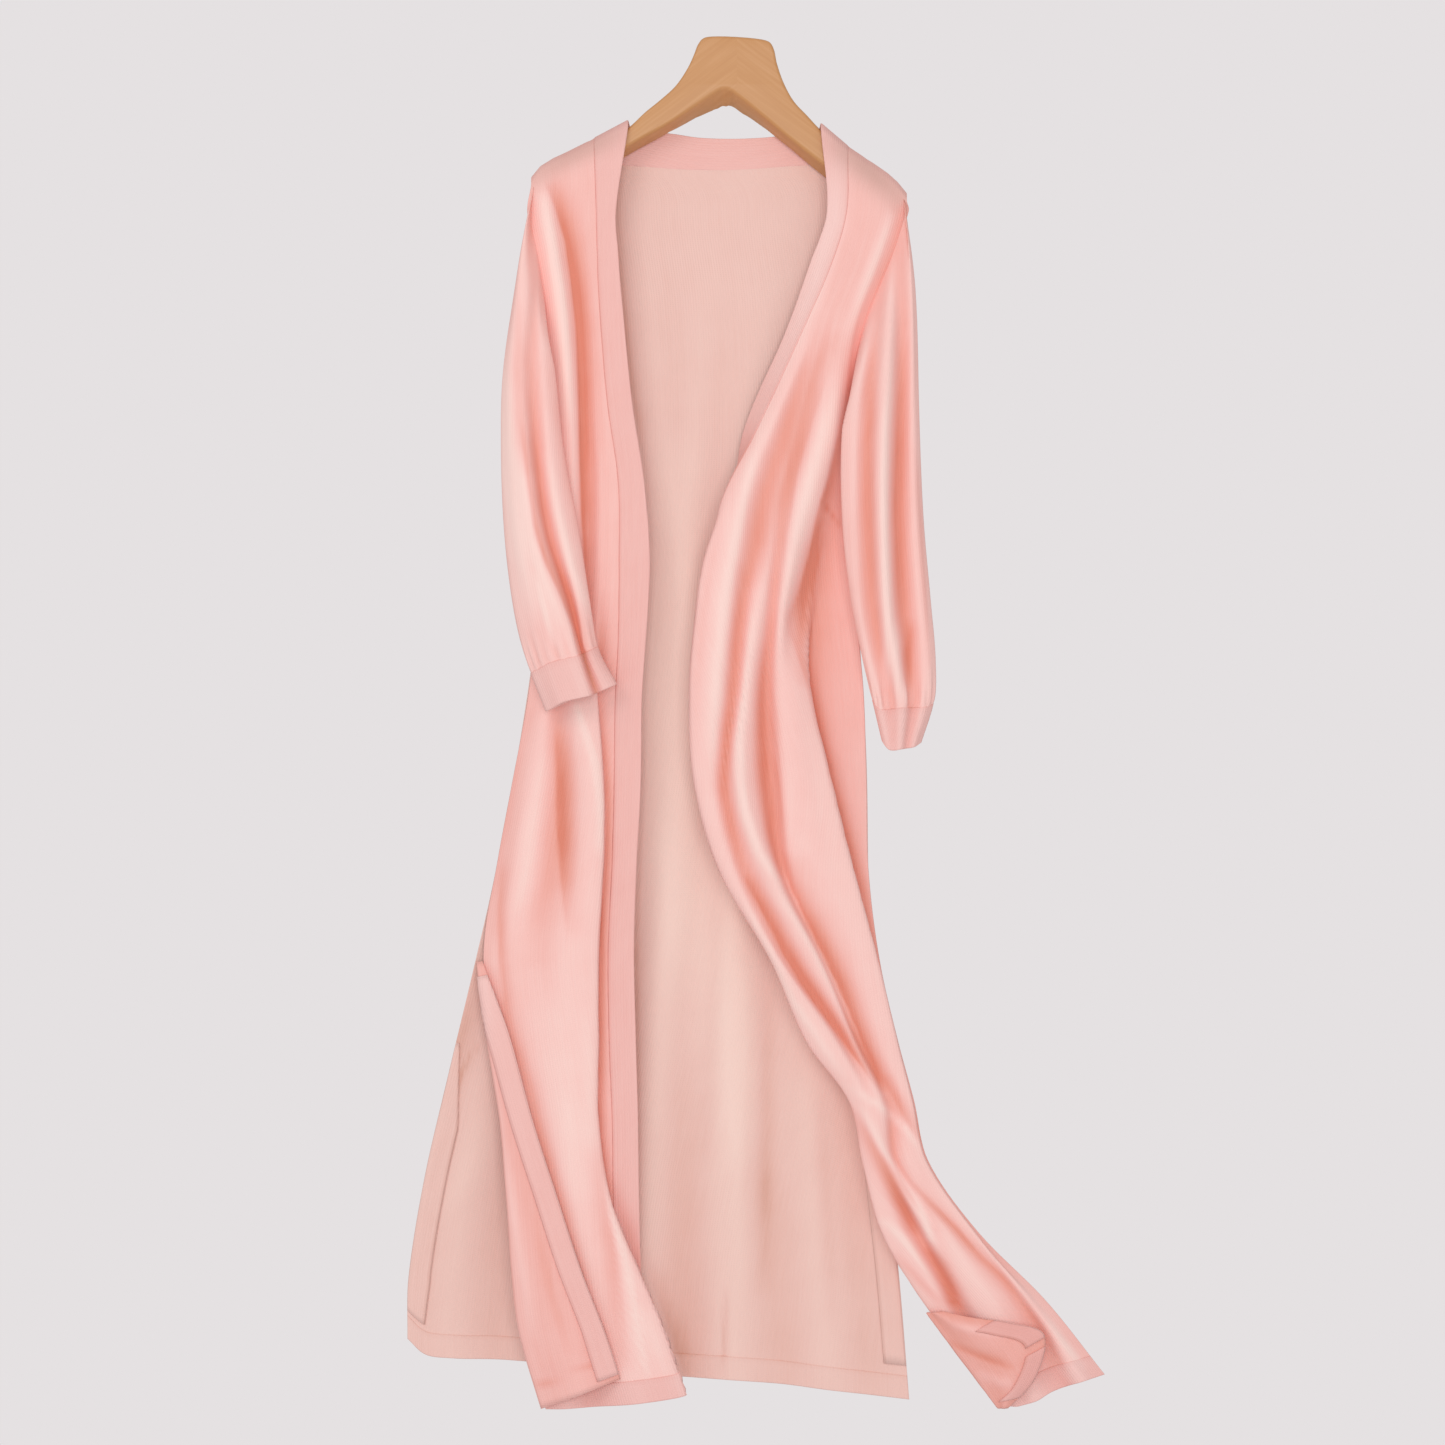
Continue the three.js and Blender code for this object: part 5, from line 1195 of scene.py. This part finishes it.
def board_outline():
    """Closed smooth outline, moved inwards by the bevel, which the bevel then adds again."""
    corners = np.array([[[across, down, 0] for across, down in HANGER_TOP + HANGER_UNDER]], float)
    outline = smooth_across(corners, OUTLINE_STEPS, closed=True)[0, :, :2]
    along = np.roll(outline, -1, axis=0) - np.roll(outline, 1, axis=0)
    along /= np.linalg.norm(along, axis=1, keepdims=True)
    return outline + HANGER_BEVEL * np.stack([-along[:, 1], along[:, 0]], axis=-1)


def add_board():
    """The sawn and rounded board, lying flat: its thickness is still along the scene's up."""
    bpy.ops.object.select_all(action="DESELECT")
    bpy.ops.curve.primitive_bezier_curve_add()
    piece = bpy.context.object
    piece.name = "hanger_wood_piece"
    curve = piece.data
    curve.splines.clear()
    curve.dimensions = "2D"
    curve.fill_mode = "BOTH"
    spline = curve.splines.new("POLY")
    outline = board_outline()
    spline.points.add(len(outline) - 1)
    for point, (across, down) in zip(spline.points, outline):
        point.co = ((across - MOUNT_ACROSS) * MM, (MOUNT_DOWN - down) * MM, 0, 1)
    spline.use_cyclic_u = True
    curve.extrude = (HANGER_THICKNESS / 2 - HANGER_BEVEL) * MM
    curve.bevel_depth = HANGER_BEVEL * MM
    curve.bevel_resolution = BEVEL_STEPS
    bpy.ops.object.convert(target="MESH")
    return piece


def plane_underside(piece):
    """The board stood up, with its underside planed, its doubles merged and its faces outwards."""
    under_across, under_down = np.array(HANGER_UNDER[::-1]).T
    fall_across, fall = np.array(UNDERSIDE_FALL).T
    for vertex in piece.data.vertices:
        x, up, out = vertex.co
        across, down = x / MM + MOUNT_ACROSS, MOUNT_DOWN - up / MM
        lower = down - np.interp(across, under_across, under_down)
        share = min(max(1 + lower / PLANED_REACH, 0), 1)
        back = min(max(0.5 - out / (HANGER_THICKNESS * MM), 0), 1)
        vertex.co = (x, -out, up - share * back * np.interp(across, fall_across, fall) * MM)
    bpy.ops.object.mode_set(mode="EDIT")
    bpy.ops.mesh.select_all(action="SELECT")
    bpy.ops.mesh.remove_doubles(threshold=MERGE_WITHIN * MM)
    bpy.ops.mesh.normals_make_consistent(inside=False)
    bpy.ops.object.mode_set(mode="OBJECT")


hanger = add_board()
plane_underside(hanger)
print("hanger's board:", len(hanger.data.polygons), "faces")

# %% [markdown]
# The hook's hole is bored straight down into the flat top, as with a drill: a cylinder is taken
# away from the wood. No hook shows in the picture, so the hole stays empty.

# %% Hole for the hook
HOLE_RADIUS, HOLE_DEPTH, HOLE_SIDES = 2, 25, 24
SMOOTH_BELOW = 35    # degrees between faces, above which an edge stays sharp

bpy.ops.object.select_all(action="DESELECT")
bpy.ops.mesh.primitive_cylinder_add(vertices=HOLE_SIDES, radius=HOLE_RADIUS * MM,
                                    depth=2 * HOLE_DEPTH * MM)
drill = bpy.context.object
bpy.ops.object.select_all(action="DESELECT")
bpy.context.view_layer.objects.active = hanger
hanger.select_set(True)
cut = hanger.modifiers.new("hook hole", "BOOLEAN")
cut.operation, cut.solver, cut.object = "DIFFERENCE", "EXACT", drill
bpy.ops.object.modifier_apply(modifier=cut.name)
bpy.data.objects.remove(drill)
bpy.ops.object.shade_smooth()
bpy.ops.object.shade_smooth_by_angle(angle=math.radians(SMOOTH_BELOW))

# %% [markdown]
# Varnished beech is light brown, with fine, short, slightly darker grain and a satin gloss. Each
# arm is its own block, glued in the middle, and its grain runs along the arm.

# %% Wood
ARM_SLOPE = 0.75                 # how steeply the arms, and so the grain, fall to both sides
BLOCK_SHIFT = 2.0                # metres between the two blocks' places in the pattern
GRAIN = (14, 90, 230)            # so many to the metre: along it, through the board, across it
GRAIN_COLOURS = [(0.3, "#c68e5a"), (0.5, "#ca935e"), (0.7, "#d09b69")]
GRAIN_BUMP, GRAIN_HEIGHT = 0.15, 0.2
VARNISH_ROUGHNESS, VARNISH_IOR = 0.42, 1.5


def wood_material():
    material, tree, shader = new_material("varnished beech")
    place = add_node(tree, "ShaderNodeTexCoord").outputs["Object"]
    parts = add_node(tree, "ShaderNodeSeparateXYZ", {"Vector": place})
    slope = maths(tree, "MULTIPLY", maths(tree, "ABSOLUTE", parts.outputs["X"]), ARM_SLOPE)
    block = maths(tree, "MULTIPLY", maths(tree, "SIGN", parts.outputs["X"]), BLOCK_SHIFT)
    across_grain = maths(tree, "ADD", maths(tree, "ADD", parts.outputs["Z"], slope), block)
    grain_place = add_node(tree, "ShaderNodeCombineXYZ",
                           {"X": parts.outputs["X"], "Y": parts.outputs["Y"], "Z": across_grain})
    stretched = add_node(tree, "ShaderNodeMapping",
                         {"Vector": grain_place.outputs["Vector"], "Scale": GRAIN})
    grain = add_node(tree, "ShaderNodeTexNoise",
                     {"Vector": stretched.outputs["Vector"], "Scale": 1.0, "Detail": 6.0})
    colour = ramp(tree, grain.outputs["Fac"], GRAIN_COLOURS)
    bump = add_node(tree, "ShaderNodeBump", {"Height": grain.outputs["Fac"], "Strength": GRAIN_BUMP,
                                             "Distance": GRAIN_HEIGHT * MM})
    tree.links.new(colour, shader.inputs["Base Color"])
    tree.links.new(bump.outputs["Normal"], shader.inputs["Normal"])
    shader.inputs["Roughness"].default_value = VARNISH_ROUGHNESS
    shader.inputs["IOR"].default_value = VARNISH_IOR
    return material


hanger.data.materials.clear()
hanger.data.materials.append(wood_material())
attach(hanger, "root")
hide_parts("hanger")
print("hanger:", len(hanger.data.polygons), "faces,", hanger.data.materials[0].name)

# %% [markdown]
# The room is a pale one, and it is plain: the cardigan hangs free in front of a wall that is far
# away. Soft light comes from all round, but less of it than such a pale wall would give, so that
# the knit keeps its colour. A window stands to the upper left in front, a white wall behind the
# viewer fills the shadows, and the floor lies well below the hem.

# %% Room and light
ROOM = "#e5e1e2"
FLOOR_HEIGHT = -1.75
FLOOR_SIZE = 3.2
FLOOR_ROUGHNESS = 0.9
ROOM_LIGHT = 0.74    # light from all round, as a share of the paleness that is seen
# name, place, what it points at, size, power
LAMPS = [
    ("window", (-1.6, -2.6, 1.2), (0, 0, -0.6), 1.6, 18),
    ("white wall behind the viewer", (0.3, -5.6, -0.6), (0, 0, -0.7), 3.0, 100),
]


def pale_paint():
    material, tree, shader = new_material("pale matt floor paint")
    shader.inputs["Base Color"].default_value = linear(ROOM)
    shader.inputs["Roughness"].default_value = FLOOR_ROUGHNESS
    return material


def add_lamp(name, place, target, size, power):
    data = bpy.data.lights.new(name, "AREA")
    data.size, data.energy = size, power
    lamp = bpy.data.objects.new(name, data)
    lamp.location = place
    way = mathutils.Vector(target) - mathutils.Vector(place)
    lamp.rotation_euler = way.to_track_quat("-Z", "Y").to_euler()
    bpy.context.scene.collection.objects.link(lamp)


scene = bpy.context.scene
scene.view_settings.view_transform = "Standard"
world = bpy.data.worlds.new("pale room")
world.use_nodes = True
scene.world = world
background = world.node_tree.nodes["Background"]
background.inputs["Color"].default_value = linear(ROOM)
seen = add_node(world.node_tree, "ShaderNodeLightPath").outputs["Is Camera Ray"]
strength = maths(world.node_tree, "MULTIPLY_ADD", seen, 1 - ROOM_LIGHT, ROOM_LIGHT)
world.node_tree.links.new(strength, background.inputs["Strength"])

bpy.ops.object.select_all(action="DESELECT")
bpy.ops.mesh.primitive_plane_add(size=FLOOR_SIZE, location=(0, 0, 0))
floor = bpy.context.object
floor.name = "floor"
for vertex in floor.data.vertices:
    vertex.co.z = FLOOR_HEIGHT
floor.data.materials.append(pale_paint())
for lamp in LAMPS:
    add_lamp(*lamp)
print("lamps:", ", ".join(lamp[0] for lamp in LAMPS))

# %% [markdown]
# The camera looks straight at the garment from 4.5 m away, level with its middle, as in the
# picture. A long lens keeps the hem and the hanger free of distortion.

# %% Camera
CAMERA_PLACE = (-0.0145, -4.515, -0.686)
LENS, SENSOR = 112.1, 36    # mm

camera_data = bpy.data.cameras.new("camera")
camera_data.lens, camera_data.sensor_width = LENS, SENSOR
camera = bpy.data.objects.new("camera", camera_data)
camera.location = CAMERA_PLACE
camera.rotation_euler = (math.radians(90), 0, 0)
scene.collection.objects.link(camera)
scene.camera = camera
print("camera at", CAMERA_PLACE)
